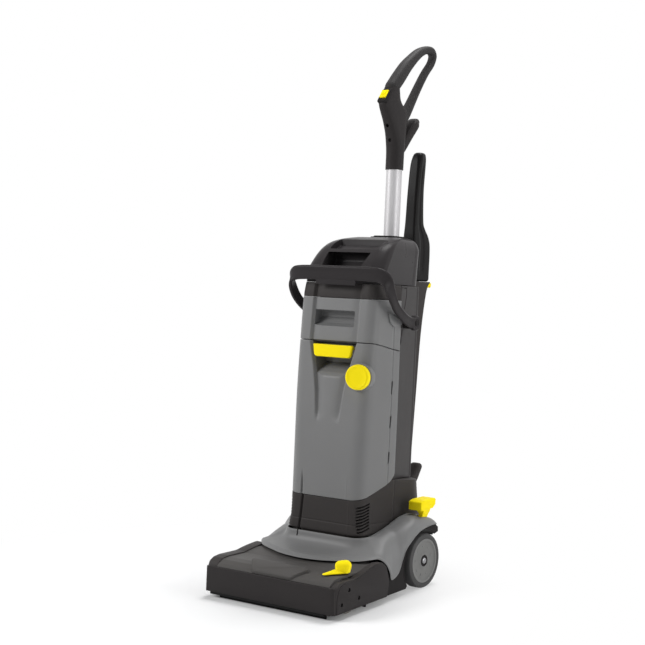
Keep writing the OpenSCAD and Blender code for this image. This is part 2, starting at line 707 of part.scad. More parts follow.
module grip_solid() difference() {
    union() {
        slab_x(-grip_half, grip_half) polygon(grip_line);
        slab_x(-grip_half - 2, grip_half + 2) polygon(hook_line);
        bar_z(socket_z, tube_top_z + 10, tube_r + 2.5, 0, tube_y);
    }
    bar_z(socket_z - 1, tube_top_z, tube_r, 0, tube_y);
    switch_pocket();
    for (s = grip_screw_spots) bar_y(120, s[0], grip_screw_r, 0, s[1]);
}
grip_screw_spots = [[178, 966], [171, 997]];
grip_screw_r = 4;
module grip_front() color(charcoal) upright() intersection() {
    grip_solid();
    slab_x(-40, 40) polygon(concat(parting_line, [[100, 1110], [100, socket_z - 10]]));
}
module grip_back() color(charcoal) upright() intersection() {
    grip_solid();
    slab_x(-40, 40) polygon(concat(parting_line, [[330, 1110], [330, socket_z - 10]]));
}
module grip_screws() color(steel) upright() for (s = grip_screw_spots)
    bar_y(s[0] - 5, s[0], grip_screw_r, 0, s[1]);

// The loop, as [y, z, half thickness] along its middle line.
loop_line = [[172, 1082, 16], [184, 1094, 16], [200, 1111, 15.5], [222, 1134, 14.5], [246, 1154, 12.5],
    [270, 1171, 11], [292, 1181, 9.5], [310, 1185, 9], [323, 1184, 9], [330, 1177, 8.5], [330, 1168, 8],
    [322, 1153, 8], [300, 1129, 8], [276, 1097, 8], [252, 1062, 8.5], [236, 1040, 9]];
loop_sides = 12;
function loop_ring(k) =
    let (p = loop_line[k], a = loop_line[max(k - 1, 0)], b = loop_line[min(k + 1, len(loop_line) - 1)],
         t = unit([b[0] - a[0], b[1] - a[1]]))
    [for (i = [0 : loop_sides - 1]) let (f = 360 * i / loop_sides)
        [-1.05 * p[2] * cos(f), p[0] - t[1] * p[2] * sin(f), p[1] + t[0] * p[2] * sin(f)]];
module grip_loop() color([0.22, 0.22, 0.22]) upright() difference() {
    loft([for (k = [0 : len(loop_line) - 1]) loop_ring(k)]);
    slab_x(-30, 30) polygon(grip_line);
}

// The rocker sits in a bezel on the nose of the grip.
switch_at = [146, 1062];
switch_tilt = 55;
module at_switch() translate([0, switch_at[0], switch_at[1]]) rotate([switch_tilt, 0, 0]) children();
module switch_pocket() at_switch() block([-10.5, -14, -12], [10.5, 14, 12]);
module switch_bezel() color(black) upright() at_switch() difference() {
    block([-10.5, -14, -12], [10.5, 14, 2]);
    block([-9, -12, -9], [9, 12, 3]);
    bar_x(-11, 11, 1.5, 0, -4);
}
module rocker() color(yellow) upright() at_switch() {
    translate([0, 0, 1]) block([-8.6, -10.5, -4], [8.6, 10.5, 5]);
    bar_x(-10.4, 10.4, 1.5 - running, 0, -4);
    bar_x(-8.6, 8.6, 4, 0, -4);
}

// ---------- Upright: stowed wand, cable gland and hook ----------

holder_sections = [
    [272, 16, 14, 252, 302, 4, 8],
    [410, 17, 15, 252, 309, 4, 8],
    [540, 18, 16, 252, 316, 4, 8],
    [634, 20, 18, 254, 328, 4, 8],
    [657, 20, 18, 258, 344, 4, 10]
];
wand_sections = [
    [657 + gap, 17, 15, 264, 342, 5, 12],
    [731, 17, 15, 266, 342, 5, 12],
    [757, 16, 14, 266, 336, 5, 12],
    [777, 15, 13, 267, 320, 5, 11],
    [795, 15, 13, 268, 312, 6, 11],
    [860, 15, 13, 271, 308, 7, 11],
    [915, 15, 13, 276, 311, 8, 11],
    [937, 14, 12, 280, 313, 10, 11],
    [950, 9, 8, 289, 307, 7, 7]
];
spigot = [[-11, 275, 600], [11, 300, 657.4]];
module wand() color(charcoal) upright() {
    loft(rings(wand_sections));
    block(spigot[0], spigot[1] + [0, 0, 4]);
}
module wand_holder() color(charcoal) upright() difference() {
    union() {
        loft(rings(holder_sections));
        block([-14, column_back, 300], [14, 256, 324]);
        block([-14, column_back, 600], [14, 258, dome_z]);
    }
    block(spigot[0] - [gap, gap, gap], spigot[1] + [gap, gap, 4]);
    block(catch_box[0] - [gap, gap + catch_travel, gap], catch_box[1] + [gap, 4, gap]);
}
catch_box = [[3, 308, 645], [11, 341, 653]];
catch_travel = 4;
module catch() color(yellow) upright() block(catch_box[0], catch_box[1]);

gland_at = [-29, 360];
gland_bore_r = 4.5;
module cable_gland() color(black) upright() difference() {
    bar_y(column_back, column_back + 16, 10, gland_at[0], gland_at[1]);
    bar_y(column_back - 1, column_back + 17, gland_bore_r, gland_at[0], gland_at[1]);
}

hook_pivot = [24, 192];
hook_seat_y = 241;
hook_boss_r = 14;
hook_pin_r = 4;
module cable_hook() color(charcoal) upright() {
    bar_y(hook_seat_y + gap, 258, hook_boss_r, hook_pivot[0], hook_pivot[1]);
    bar_y(hook_seat_y - 9, 250, hook_pin_r, hook_pivot[0], hook_pivot[1]);
    slab_x(hook_pivot[0] - 14, hook_pivot[0] + 14) polygon([[252, 178], [276, 178], [290, 190], [304, 212],
        [315, 232], [313, 242], [303, 247], [294, 243], [284, 228], [272, 214], [252, 206]]);
}

// ---------- Upright: bail ----------

// The bail's middle line from the front middle to the right pivot:
// [x, y, z], the outward direction, and the height.
bail_line = [
    [[0, -6, 666], [0, -1], 31], [[60, -6, 666], [0, -1], 31], [[96, -5, 665], [0.1, -1], 31],
    [[114, -2, 662], [0.45, -0.9], 30], [[125, 3, 653], [0.8, -0.6], 28], [[128, 10, 637], [1, -0.2], 26],
    [[128, 24, 616], [1, 0], 23], [[125, 44, 597], [1, 0], 21], [[121, 78, 578], [1, 0], 21],
    [[117, 106, 569], [1, 0], 22], [[116, 126, 566], [1, 0], 24]
];
bail_t = 8;
function flip_x(s) = [[-s[0][0], s[0][1], s[0][2]], [-s[1][0], s[1][1]], s[2]];
bail_path = concat([for (k = [len(bail_line) - 1 : -1 : 1]) flip_x(bail_line[k])], bail_line);
function bail_ring(k) =
    let (p = bail_path[k][0], a = bail_path[max(k - 1, 0)][0],
         b = bail_path[min(k + 1, len(bail_path) - 1)][0],
         t = unit(b - a), o0 = unit([bail_path[k][1][0], bail_path[k][1][1], 0]),
         o = unit(o0 - t * (o0 * t)), u = cross(t, o), e = 2)
    [for (c = [[1, -1, -e, 0], [1, -1, 0, e], [1, 1, 0, -e], [1, 1, -e, 0],
            [-1, 1, e, 0], [-1, 1, 0, -e], [-1, -1, 0, e], [-1, -1, e, 0]])
        p + o * (c[0] * bail_t / 2 + c[2]) + u * (c[1] * bail_path[k][2] / 2 + c[3])];
module bail() color(charcoal) upright() difference() {
    union() {
        loft([for (k = [0 : len(bail_path) - 1]) bail_ring(k)]);
        both_sides() bar_x(bail_arm_x[0], bail_arm_x[1], 16, bail_pivot[0], bail_pivot[1]);
    }
    bar_x(-140, 140, bail_pin_r + running, bail_pivot[0], bail_pivot[1]);
}

head_shell();
front_panel();
side_plate_left();
side_plate_right();
plate_screws();
chassis();
hood();
skirt_left();
skirt_right();
axle();
brush_motor();
drive_belt();
brush_bearings();
pedal_pin();
front_holder();
front_blade();
rear_holder();
rear_blade();
brush_core();
bristles();
brush_pulley();
motor_pulley();
tyre_left();
rim_left();
hubcap_left();
tyre_right();
rim_right();
hubcap_right();
lift_lever();
foot_pedal();
tilt_bracket();
base_housing();
column();
tank_lower();
tank_upper();
tank_cap();
latch_pin();
latch();
fill_cap();
dome();
dome_tray();
tube_socket();
tube();
tube_collar();
grip_front();
grip_back();
grip_loop();
grip_screws();
switch_bezel();
rocker();
wand_holder();
wand();
catch();
suction_turbine();
pump();
cable_gland();
cable_hook();
bail_pins();
bail();
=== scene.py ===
# %% [markdown]
# # A compact upright floor scrubber
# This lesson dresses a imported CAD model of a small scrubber: a roller-brush head on two wheels, a
# leaning body with two tanks, a carrying bail, a stowed wand and a loop handle.
# The CAD solids bring the sizes and the joints. Here each moulding gets its soft edges, grooves and
# finish. The model is loaded first, because every piece made later rides on one of its bodies.

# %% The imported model
import json
import math

import bmesh
import bpy
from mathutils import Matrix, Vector


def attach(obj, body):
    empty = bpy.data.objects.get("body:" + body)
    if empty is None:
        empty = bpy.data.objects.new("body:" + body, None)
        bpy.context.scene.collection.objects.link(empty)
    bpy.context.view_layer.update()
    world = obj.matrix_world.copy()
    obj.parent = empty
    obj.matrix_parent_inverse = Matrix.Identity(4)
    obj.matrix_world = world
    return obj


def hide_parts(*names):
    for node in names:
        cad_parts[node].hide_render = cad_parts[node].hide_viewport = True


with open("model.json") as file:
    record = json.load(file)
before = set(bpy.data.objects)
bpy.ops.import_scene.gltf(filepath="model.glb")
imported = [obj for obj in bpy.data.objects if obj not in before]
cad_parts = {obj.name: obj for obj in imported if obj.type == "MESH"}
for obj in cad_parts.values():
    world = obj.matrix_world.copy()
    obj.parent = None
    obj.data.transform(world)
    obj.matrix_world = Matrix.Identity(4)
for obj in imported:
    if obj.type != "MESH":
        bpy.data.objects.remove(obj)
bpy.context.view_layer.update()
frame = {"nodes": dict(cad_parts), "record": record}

# %% [markdown]
# ## Two drawing frames
# The head stands level, and the body leans back a few degrees about the wheel axle. A designer draws
# the body upright, so that its edges lie along the axes, and leans it afterwards. A parent object
# could do the leaning, but `level` and `leaning` are plainer: both take millimetres from the
# drawing's datum and give metres in the room.

# %% Placing
MM = 0.001
MIDDLE_Y = 112.2
AXLE_Y, AXLE_Z = 138.6, 58.6
LEAN = math.radians(4.2)


def level(x, y, z):
    return Vector((x, y - MIDDLE_Y, z)) * MM


def leaning(x, y, z):
    dy, dz = y - AXLE_Y, z - AXLE_Z
    return level(x, AXLE_Y + dy * math.cos(LEAN) + dz * math.sin(LEAN),
                 AXLE_Z - dy * math.sin(LEAN) + dz * math.cos(LEAN))


print("axle at", [round(v, 4) for v in level(0, AXLE_Y, AXLE_Z)])

# %% [markdown]
# ## The camera
# A long lens from a little above the tanks keeps the sides nearly parallel, which is how catalogues
# show tall machines. An orthographic camera would keep them fully parallel, but it would take the
# depth out of the head.

# %% Camera
VIEW_YAW, VIEW_PITCH = math.radians(36.8), math.radians(-4.7)


def put(name, data):
    thing = bpy.data.objects.new(name, data)
    bpy.context.scene.collection.objects.link(thing)
    return thing


view = bpy.data.cameras.new("view")
view.lens = 83.045
view.sensor_width = 36
camera = put("view", view)
camera.location = level(1865.7, -2503.0, 828.5)
camera.rotation_euler = (math.pi / 2 + VIEW_PITCH, 0, VIEW_YAW)
bpy.context.scene.camera = camera
bpy.context.scene.view_settings.view_transform = "Standard"
print("lens", view.lens, "mm")

# %% [markdown]
# ## Writing shaders as sums
# A finish could be wired node by node, as in the shader editor, but it is easier to read as an
# expression. `Wire` wraps one socket: adding or multiplying two wires adds the Math node for it.
# Colours go through Mix nodes instead, because a Math node would turn them grey.

# %% Wires


class Wire:
    def __init__(self, recipe, socket):
        self.recipe, self.socket = recipe, socket

    def _math(self, operation, first, second):
        return self.recipe.add("ShaderNodeMath", {"operation": operation}, {0: first, 1: second})

    def __add__(self, other):
        return self._math("ADD", self, other)

    def __radd__(self, other):
        return self._math("ADD", other, self)

    def __sub__(self, other):
        return self._math("SUBTRACT", self, other)

    def __rsub__(self, other):
        return self._math("SUBTRACT", other, self)

    def __mul__(self, other):
        return self._math("MULTIPLY", self, other)

    def __rmul__(self, other):
        return self._math("MULTIPLY", other, self)


print("a Wire adds, subtracts and multiplies")

# %% [markdown]
# A `Recipe` is one material or world. Its `add` takes a node's type, its settings and the values or
# wires of its sockets, so every kind of node comes from the same line of code.

# %% Recipes


class Recipe:
    """One material or world, with a method that adds a node and gives back its output as a Wire."""

    def __init__(self, name, owner=None):
        self.owner = owner or bpy.data.materials.new(name)
        self.owner.use_nodes = True
        self.tree = self.owner.node_tree
        self.tree.nodes.clear()

    def add(self, kind, settings=None, sockets=None, output=0):
        node = self.tree.nodes.new(kind)
        for key, value in (settings or {}).items():
            if key == "stops":
                ramp = node.color_ramp
                while len(ramp.elements) < len(value):
                    ramp.elements.new(1.0)
                for stop, (place, grey) in zip(ramp.elements, value):
                    stop.position = place
                    stop.color = (grey, grey, grey, 1)
            else:
                setattr(node, key, value)
        for key, value in (sockets or {}).items():
            if isinstance(value, Wire):
                self.tree.links.new(value.socket, node.inputs[key])
            else:
                node.inputs[key].default_value = value
        return Wire(self, node.outputs[output] if node.outputs else None)

    def place(self):
        return self.add("ShaderNodeTexCoord", output="Object")

    def noise(self, scale, detail=2.0, where=None):
        return self.add("ShaderNodeTexNoise", None,
                        {"Vector": where or self.place(), "Scale": scale, "Detail": detail})

    def mix(self, factor, first, second):
        return self.add("ShaderNodeMix", {"data_type": "RGBA"}, {0: factor, 6: first, 7: second}, 2)

    def seen(self):
        """1 for rays that look at a thing, 0 for those that light it."""
        return sum(self.add("ShaderNodeLightPath", output=ray)
                   for ray in ("Is Camera Ray", "Is Glossy Ray", "Is Transmission Ray"))

    def bump(self, height, strength, distance, invert=False):
        return self.add("ShaderNodeBump", {"invert": invert},
                        {"Strength": strength, "Distance": distance, "Height": height})

    def surface(self, base, rough, normal, **constants):
        """The finished material. A named constant goes to the socket of that name."""
        return self.finish(self.add("ShaderNodeBsdfPrincipled", None, {
            "Base Color": base, "Roughness": rough, "Normal": normal,
            **{socket.replace("_", " "): value for socket, value in constants.items()}}))

    def finish(self, shader, output="ShaderNodeOutputMaterial"):
        self.add(output, None, {"Surface": shader})
        return self.owner


def rgba(colour, share=1.0, lift=0.0):
    """A colour made paler or darker by a share and a lift, with its alpha."""
    return (*[c * share + lift for c in colour], 1.0)


print("darker yellow:", rgba((1.0, 0.81, 0.01), 0.9))

# %% [markdown]
# ## Moulded plastic
# Most of this machine is injection-moulded. Its moulds are spark-eroded, which leaves a grain of
# about half a millimetre. It is too fine to model, so a Bump node breaks the highlight up instead.
# Large soft patches of slightly different gloss come from handling, and outer corners rub a little
# paler, which the Pointiness of the mesh finds without any painted mask.

# %% Moulded plastic
GRAIN, PATCHES, BLOTCHES = 2600, 9, 70      # how often each noise repeats in a metre


def moulded(name, colour, rough, grain=0.12, patch=0.06, worn=0.25, gloss=0.035):
    r = Recipe(name)
    fine = r.noise(GRAIN, 3.0)
    cloud = r.noise(PATCHES, 4.0)
    blotch = r.noise(BLOTCHES, 3.0)
    edge = r.add("ShaderNodeNewGeometry", output="Pointiness")
    rub = r.add("ShaderNodeValToRGB", {"stops": [(0.50, 0.0), (0.58, 1.0)]}, {0: edge})
    base = r.mix(cloud, rgba(colour, 1 - patch), rgba(colour, 1 + patch))
    base = r.mix(rub * blotch * worn, base, rgba(colour, 1.5, 0.02))
    uneven = rough + (cloud - 0.5) * 0.10 + (blotch - 0.5) * 0.06
    return r.surface(base, uneven, r.bump(fine, grain, 0.0004), Specular_IOR_Level=gloss)


finishes = {
    "charcoal": moulded("charcoal_moulding", (0.047, 0.043, 0.042), 0.42),
    "black_plastic": moulded("black_moulding", (0.019, 0.0175, 0.0175), 0.5),
    "grey": moulded("grey_moulding", (0.185, 0.185, 0.185), 0.38, worn=0.12, gloss=0.14),
    "rim": moulded("rim_moulding", (0.19, 0.19, 0.185), 0.45),
    "dome": moulded("dome_moulding", (0.034, 0.031, 0.032), 0.30, grain=0.08, gloss=0.045),
    "wand": moulded("wand_moulding", (0.0055, 0.005, 0.005), 0.34, gloss=0.07),
    "panel": moulded("panel_moulding", (0.034, 0.031, 0.031), 0.40, grain=0.10),
    "yellow": moulded("yellow_moulding", (1.0, 0.81, 0.010), 0.42, grain=0.05, patch=0.02, worn=0.0,
                      gloss=0.04),
    # The deck is the charcoal moulding made paler: painted light, standing in for the light that the hood's
    # shadow keeps off it.
    "deck": moulded("deck_painted_light_moulding", (0.078, 0.074, 0.071), 0.42),
    "pulley": moulded("pulley_moulding", (0.03, 0.03, 0.03), 0.5),
}
print("moulded finishes:", sorted(finishes))

# %% [markdown]
# ## Rubber and bristle
# Rubber is matte and slightly dusty. The tyres, the squeegee blades and the soft cover of the loop
# differ only in colour, roughness and grain, so one function makes all three. The brush's tufts could
# be modelled one by one, but they stand under the deck, so a cell pattern shows them well enough.

# %% Rubber


def rubber(name, colour, rough, grain_scale=900, depth=0.25):
    r = Recipe(name)
    fine = r.noise(grain_scale, 4.0)
    dust = r.noise(35, 5.0)
    base = r.mix(dust, rgba(colour, 0.85), rgba(colour, 1.2, 0.004))
    uneven = rough + (dust - 0.5) * 0.12
    return r.surface(base, uneven, r.bump(fine, depth, 0.0005), Specular_IOR_Level=0.05)


finishes["tyre"] = rubber("tyre_rubber", (0.076, 0.075, 0.075), 0.62)
finishes["rubber"] = rubber("blade_rubber", (0.014, 0.014, 0.014), 0.55)
finishes["grip"] = rubber("grip_rubber", (0.038, 0.036, 0.036), 0.5, 1900, 0.03)


def bristle(name):
    """Tufts: cells across the sleeve, with shadow between them."""
    r = Recipe(name)
    cells = r.add("ShaderNodeTexVoronoi", None, {"Vector": r.place(), "Scale": 420})
    base = r.mix(cells * 1.6, rgba((0.60, 0.58, 0.52)), rgba((0.16, 0.15, 0.13)))
    return r.surface(base, 0.6 + cells * 0.2, r.bump(cells, 0.9, 0.002, invert=True))


finishes["bristle"] = bristle("nylon_tufts")
print("with rubber and tufts:", len(finishes), "finishes")

# %% [markdown]
# ## Metal
# The handle tube is drawn steel, finished along its length: fine lines run down it, so its highlight
# is a soft stripe. The shader's anisotropy could stretch the highlight, but noise that is stretched
# along the tube does it with the same sockets as every other finish. Screws, pins and the axle are
# turned, and the motors have a satin paint.

# %% Metal


def metal(name, colour, rough, repeats, depth=0.08, metallic=1.0):
    """Metal with a fine grain, which repeats this often in a metre along x, y and z."""
    r = Recipe(name)
    drawn = r.add("ShaderNodeMapping", None, {"Vector": r.place(), "Scale": repeats})
    lines = r.noise(1.0, 4.0, drawn)
    smear = r.noise(14, 3.0)
    base = r.mix(lines, rgba(colour, 0.9), rgba(colour))
    uneven = rough + (smear - 0.5) * 0.12 + (lines - 0.5) * 0.1
    return r.surface(base, uneven, r.bump(lines, depth, 0.0002), Metallic=metallic)


finishes["tube_steel"] = metal("drawn_tube", (0.56, 0.55, 0.56), 0.45, (900, 900, 6), 0.003, 0.30)
finishes["steel"] = metal("turned_steel", (0.30, 0.30, 0.31), 0.30, (900, 900, 900))
finishes["motor"] = metal("painted_motor", (0.22, 0.22, 0.23), 0.5, (700, 700, 700), 0.15, 0.2)
print("all finishes:", len(finishes))

# %% [markdown]
# The CAD solids are never reshaped. Each gets the finish that its record names, so that a piece which
# no mesh below covers, such as the chassis, still has its own material.

# %% Finishes on the CAD solids
slot_of = {entry["node"]: entry["material_slot"] for entry in frame["record"]["subparts"]}
for node, solid in frame["nodes"].items():
    solid.data.materials.clear()
    solid.data.materials.append(finishes[slot_of[node]])
print("finished", len(frame["nodes"]), "CAD nodes")

# %% [markdown]
# ## Making meshes
# Three kinds of form cover nearly every piece here: a stack of rings (a tank, a dome), a line with a
# section carried along it (a bail, a loop), and a flat outline with thickness (a plate, a pedal).
# Modifiers could round a box instead, but rings put each edge exactly where the mould has it. All
# three end in `make`, which builds the mesh, smooths it and hangs the piece on its body.

# %% Making a piece
RECORD_SLOT = {"dome": "charcoal", "wand": "charcoal", "panel": "charcoal", "deck": "charcoal"}


def closed_mesh(name, points, faces):
    mesh = bpy.data.meshes.new(name)
    mesh.from_pydata([tuple(p) for p in points], [], [tuple(f) for f in faces])
    mesh.validate()
    shell = bmesh.new()
    shell.from_mesh(mesh)
    bmesh.ops.remove_doubles(shell, verts=shell.verts, dist=1e-6)
    bmesh.ops.recalc_face_normals(shell, faces=shell.faces)
    shell.to_mesh(mesh)
    shell.free()
    return mesh


def smooth(mesh, crease):
    """Smooth shading, with a sharp edge wherever two faces meet at more than the crease angle."""
    mesh.polygons.foreach_set("use_smooth", [True] * len(mesh.polygons))
    mesh.set_sharp_from_angle(angle=math.radians(crease))


def make(name, points, faces, finish, body, replaced=(), crease=32):
    mesh = closed_mesh(name, points, faces)
    smooth(mesh, crease)
    piece = put(name, mesh)
    mesh.materials.append(finishes[finish])
    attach(piece, body)
    RECORD_SLOT.get(finish, finish)
    if replaced:
        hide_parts(*replaced)
    return piece


print("finishes that share a slot of the record:", RECORD_SLOT)

# %% [markdown]
# A stack joins each ring to the next with four-sided faces and closes both ends. A loft between curve
# objects would do the same, but plain rings of points need no curves.

# %% Stacks of rings


def walls(rings, closed=False):
    """Faces from each ring to the next, and from the last to the first where the run is closed."""
    count, total = len(rings[0]), len(rings)
    return [(k * count + i, k * count + (i + 1) % count,
             (k + 1) % total * count + (i + 1) % count, (k + 1) % total * count + i)
            for k in range(total if closed else total - 1) for i in range(count)]


def flattened(rings):
    return [p for ring in rings for p in ring]


def joined(*meshes):
    """Points and faces of several meshes as one."""
    points, faces = [], []
    for more, loops in meshes:
        faces += [tuple(i + len(points) for i in loop) for loop in loops]
        points += more
    return points, faces


def stack(*piles):
    """Points and faces of closed stacks of equal rings, with one face over each end."""
    solids = []
    for rings in piles:
        count, end = len(rings[0]), len(rings) * len(rings[0])
        lids = [tuple(reversed(range(count))), tuple(range(end - count, end))]
        solids.append((flattened(rings), walls(rings) + lids))
    return joined(*solids)


square = [(0, 0), (1, 0), (1, 1), (0, 1)]
print("a cube has", len(stack([[(x, y, z) for x, y in square] for z in (0, 1)])[1]), "faces")

# %% [markdown]
# Tanks, loops and the hood are read from a few knots. A Bezier curve object would need handles; a
# spline that goes through its knots needs only the sizes that a drawing gives.

# %% Smooth runs


def spline(knots, steps):
    """A smooth run through tuples of numbers, with `steps` parts to each stretch."""
    run = []
    for i in range(len(knots) - 1):
        before, a, b, after = [knots[min(max(j, 0), len(knots) - 1)] for j in range(i - 1, i + 3)]
        for s in range(steps):
            t = s / steps
            run.append(tuple(
                0.5 * (2 * q + (r - p) * t + (2 * p - 5 * q + 4 * r - w) * t * t
                       + (3 * q - p - 3 * r + w) * t ** 3)
                for p, q, r, w in zip(before, a, b, after)))
    return run + [tuple(knots[-1])]


def spaced(low, high, count):
    return [low + (high - low) * i / (count - 1) for i in range(count)]


def merged(*runs):
    """Several runs of marks as one, in order."""
    return sorted({mark for run in runs for mark in run})


def eased(low, high, value):
    """0 below the stretch, 1 above it, with a soft start and end."""
    t = min(max((value - low) / (high - low), 0), 1)
    return t * t * (3 - 2 * t)


def groove(distance, width):
    """How deep a round-bottomed groove is, as a share, at a distance from its middle."""
    return math.exp(-(distance / width) ** 2)


def bearings(count):
    return [math.tau * i / count for i in range(count)]


print("half way up a soft step:", eased(0, 1, 0.5))

# %% [markdown]
# ## Flat pieces with soft edges
# A plate or pedal is an outline with its corners rounded, given thickness, and then a small round
# along both rims. A Bevel modifier would round every edge alike, so the rims are made from the same
# outline drawn slightly smaller.

# %% Outlines


def rounded(corners, radius=2.0, steps=5):
    """An outline with each corner turned into an arc. A corner may carry its own radius."""
    outline = []
    count = len(corners)
    for i, corner in enumerate(corners):
        r = corner[2] if len(corner) > 2 else radius
        here = Vector(corner[:2])
        to_last = Vector(corners[i - 1][:2]) - here
        to_next = Vector(corners[(i + 1) % count][:2]) - here
        half = to_last.angle(to_next) / 2
        reach = min(r / max(math.tan(half), 0.05), to_last.length * 0.48, to_next.length * 0.48)
        a, b = here + to_last.normalized() * reach, here + to_next.normalized() * reach
        for s in range(steps + 1):
            t = s / steps
            outline.append((1 - t) ** 2 * a + 2 * t * (1 - t) * here + t * t * b)
    return outline


def turns_left(outline):
    return sum(a.cross(b) for a, b in zip(outline, outline[1:] + outline[:1])) > 0


def shrunk(outline, inset):
    """The outline moved inwards along its own normals. Where a tight corner would fold, it closes up."""
    sign, count = (1 if turns_left(outline) else -1), len(outline)
    moved = []
    for i, p in enumerate(outline):
        along = outline[(i + 1) % count] - outline[i - 1]
        moved.append(p + Vector((-along.y, along.x)).normalized() * inset * sign)
    for _ in range(40):
        folds = [i for i in range(count)
                 if (moved[(i + 1) % count] - moved[i]).dot(outline[(i + 1) % count] - outline[i]) < -1e-9]
        for i in folds:
            moved[i] = moved[(i + 1) % count] = (moved[i] + moved[(i + 1) % count]) / 2
        if not folds:
            break
    return moved


print("a rounded square has", len(rounded([(0, 0), (9, 0), (9, 9), (0, 9)])), "points")

# %% [markdown]
# A slab is that outline at several depths. The way of placing it says which view it is drawn in: from
# the side or from the front, on the level head or on the leaning body.

# %% Slabs
RIM_PARTS = 4
RIM_TURNS = [math.pi / 2 * s / RIM_PARTS for s in range(RIM_PARTS + 1)]


def rim_steps(edge):
    """(how far back from the end, how far in) along a quarter round, from the wall to the end."""
    return [(edge * (1 - math.sin(a)), edge * (1 - math.cos(a))) for a in RIM_TURNS]


def slab_rings(corners, low, high, edge, place, radius=2.0, steps=5):
    """Rings of a flat piece from `low` to `high`, its rims rounded by `edge`."""
    outline = rounded(corners, radius, steps)
    lower = [(low + back, inset) for back, inset in reversed(rim_steps(edge))]
    upper = [(high - back, inset) for back, inset in rim_steps(edge)]
    return [[place(p.x, p.y, depth) for p in shrunk(outline, inset)] for depth, inset in lower + upper]


def side_level(a, b, depth):
    return level(depth, a, b)


def side_leaning(a, b, depth):
    return leaning(depth, a, b)


def front_level(a, b, depth):
    return level(a, depth, b)


def front_leaning(a, b, depth):
    return leaning(a, depth, b)


def slab(name, corners, low, high, edge, place, finish, body, replaced=(), radius=2.0):
    return make(name, *stack(slab_rings(corners, low, high, edge, place, radius)), finish, body, replaced)


def span(side, near, far):
    """Low and high x of something that lies between two distances from the middle, on one side."""
    return sorted((side * near, side * far))


print("rim of 1 mm:", [round(back, 2) for back, inset in rim_steps(1)])

# %% [markdown]
# ## Round pieces
# Tyres, rims, caps and screws are turned: a profile of (distance along the axis, radius) swept round.
# A Screw modifier would do the same, but rings go through the same `stack` as every other form.

# %% Turning


def turned(profile, place, around=64):
    """One ring for each (distance, radius) of the profile."""
    return [[place(x, r * math.cos(a), r * math.sin(a)) for a in bearings(around)] for x, r in profile]


def along_x(y, z):
    return lambda x, a, b: leaning(x, y + a, z + b)


def along_y(x, z):
    return lambda y, a, b: leaning(x + a, y, z + b)


def hoop(name, profile, place, finish, body, replaced=(), around=96):
    """A turned piece whose profile closes on itself, as a tyre's does."""
    rings = turned(profile, place, around)
    return make(name, flattened(rings), walls(rings, closed=True), finish, body, replaced)


print("points round a wheel:", len(turned([(0, 58.6)], along_x(0, 0), 96)[0]))

# %% [markdown]
# ## The bodies of the tanks
# Each level cut through a tank is a rectangle with big front corners and small back ones. A cut is one
# tuple: (z, half width in front, half width at the back, front y, back y, front radius, back radius).
# Subdivision could round a box to the same shape, but a smooth run through a few cuts keeps every
# size as it is drawn. Marks round the cut stand closer where a groove or a recess edge has to show.

# %% Level cuts
BEND = 9


def marks_round(front, side):
    """(part, how far along that part) round a level cut, starting at the front left."""
    marks = [("front", f) for f in front]
    marks += [("bend", 1, i / BEND) for i in range(1, BEND)]
    marks += [("side", 1, g) for g in side]
    marks += [("heel", 1, i / BEND) for i in range(1, BEND)]
    marks += [("back", f) for f in reversed(spaced(-1, 1, 7))]
    marks += [("heel", -1, 1 - i / BEND) for i in range(1, BEND)]
    marks += [("side", -1, g) for g in reversed(side)]
    marks += [("bend", -1, 1 - i / BEND) for i in range(1, BEND)]
    return marks


def on_cut(cut, mark, inset=0.0):
    """Point and outward normal of a mark on a cut."""
    z, wf, wb, yf, yb, rf, rb = cut
    part = mark[0]
    if part == "front":
        x, y, nx, ny = mark[1] * (wf - rf), yf, 0, -1
    elif part == "back":
        x, y, nx, ny = mark[1] * (wb - rb), yb, 0, 1
    elif part == "bend":
        turn = math.radians(-90 + 90 * mark[2])
        nx, ny = math.cos(turn) * mark[1], math.sin(turn)
        x, y = mark[1] * (wf - rf) + rf * nx, yf + rf + rf * ny
    elif part == "heel":
        turn = math.radians(90 * mark[2])
        nx, ny = math.cos(turn) * mark[1], math.sin(turn)
        x, y = mark[1] * (wb - rb) + rb * nx, yb - rb + rb * ny
    else:
        x = mark[1] * (wf + (wb - wf) * mark[2])
        y, nx, ny = yf + rf + (yb - rb - yf - rf) * mark[2], mark[1], 0
    return x - nx * inset, y - ny * inset, nx, ny


def cut_at(cuts, z):
    """The cut at a height, read straight between the two cuts beside it."""
    if z <= cuts[0][0]:
        return cuts[0]
    for low, high in zip(cuts, cuts[1:]):
        if z <= high[0]:
            t = (z - low[0]) / (high[0] - low[0])
            return tuple(a + (b - a) * t for a, b in zip(low, high))
    return cuts[-1]


print("marks round a plain cut:", len(marks_round(spaced(-1, 1, 5), spaced(0, 1, 5))))

# %% [markdown]
# A shell runs from one line to another, because the mouldings meet at seams that aren't level. Its
# `relief` says how far each point is sunk, so that a groove is part of the same surface.

# %% Shells from cuts


def shell_rings(cuts, low, high, marks, rows, edge, relief=None):
    """Rings from the line `low(y)` to the line `high(y)`, rims rounded by `edge`, sunk by `relief`."""
    run = spline(cuts, 6)
    levels = [("low", back, inset) for back, inset in reversed(rim_steps(edge))]
    levels += [("part", t, 0) for t in rows]
    levels += [("high", -back, inset) for back, inset in rim_steps(edge)]
    rings = []
    for kind, amount, inset in levels:
        ring = []
        for mark in marks:
            y = on_cut(cut_at(run, 0.5 * (low(0) + high(0))), mark)[1]
            for _ in range(3):
                bottom, top = low(y), high(y)
                z = (bottom + amount if kind == "low" else top + amount if kind == "high"
                     else bottom + edge + (top - bottom - 2 * edge) * amount)
                x, y, nx, ny = on_cut(cut_at(run, z), mark)
            depth = inset + (relief(mark, x, y, z) if relief else 0)
            ring.append(leaning(x - nx * depth, y - ny * depth, z))
        rings.append(ring)
    return rings


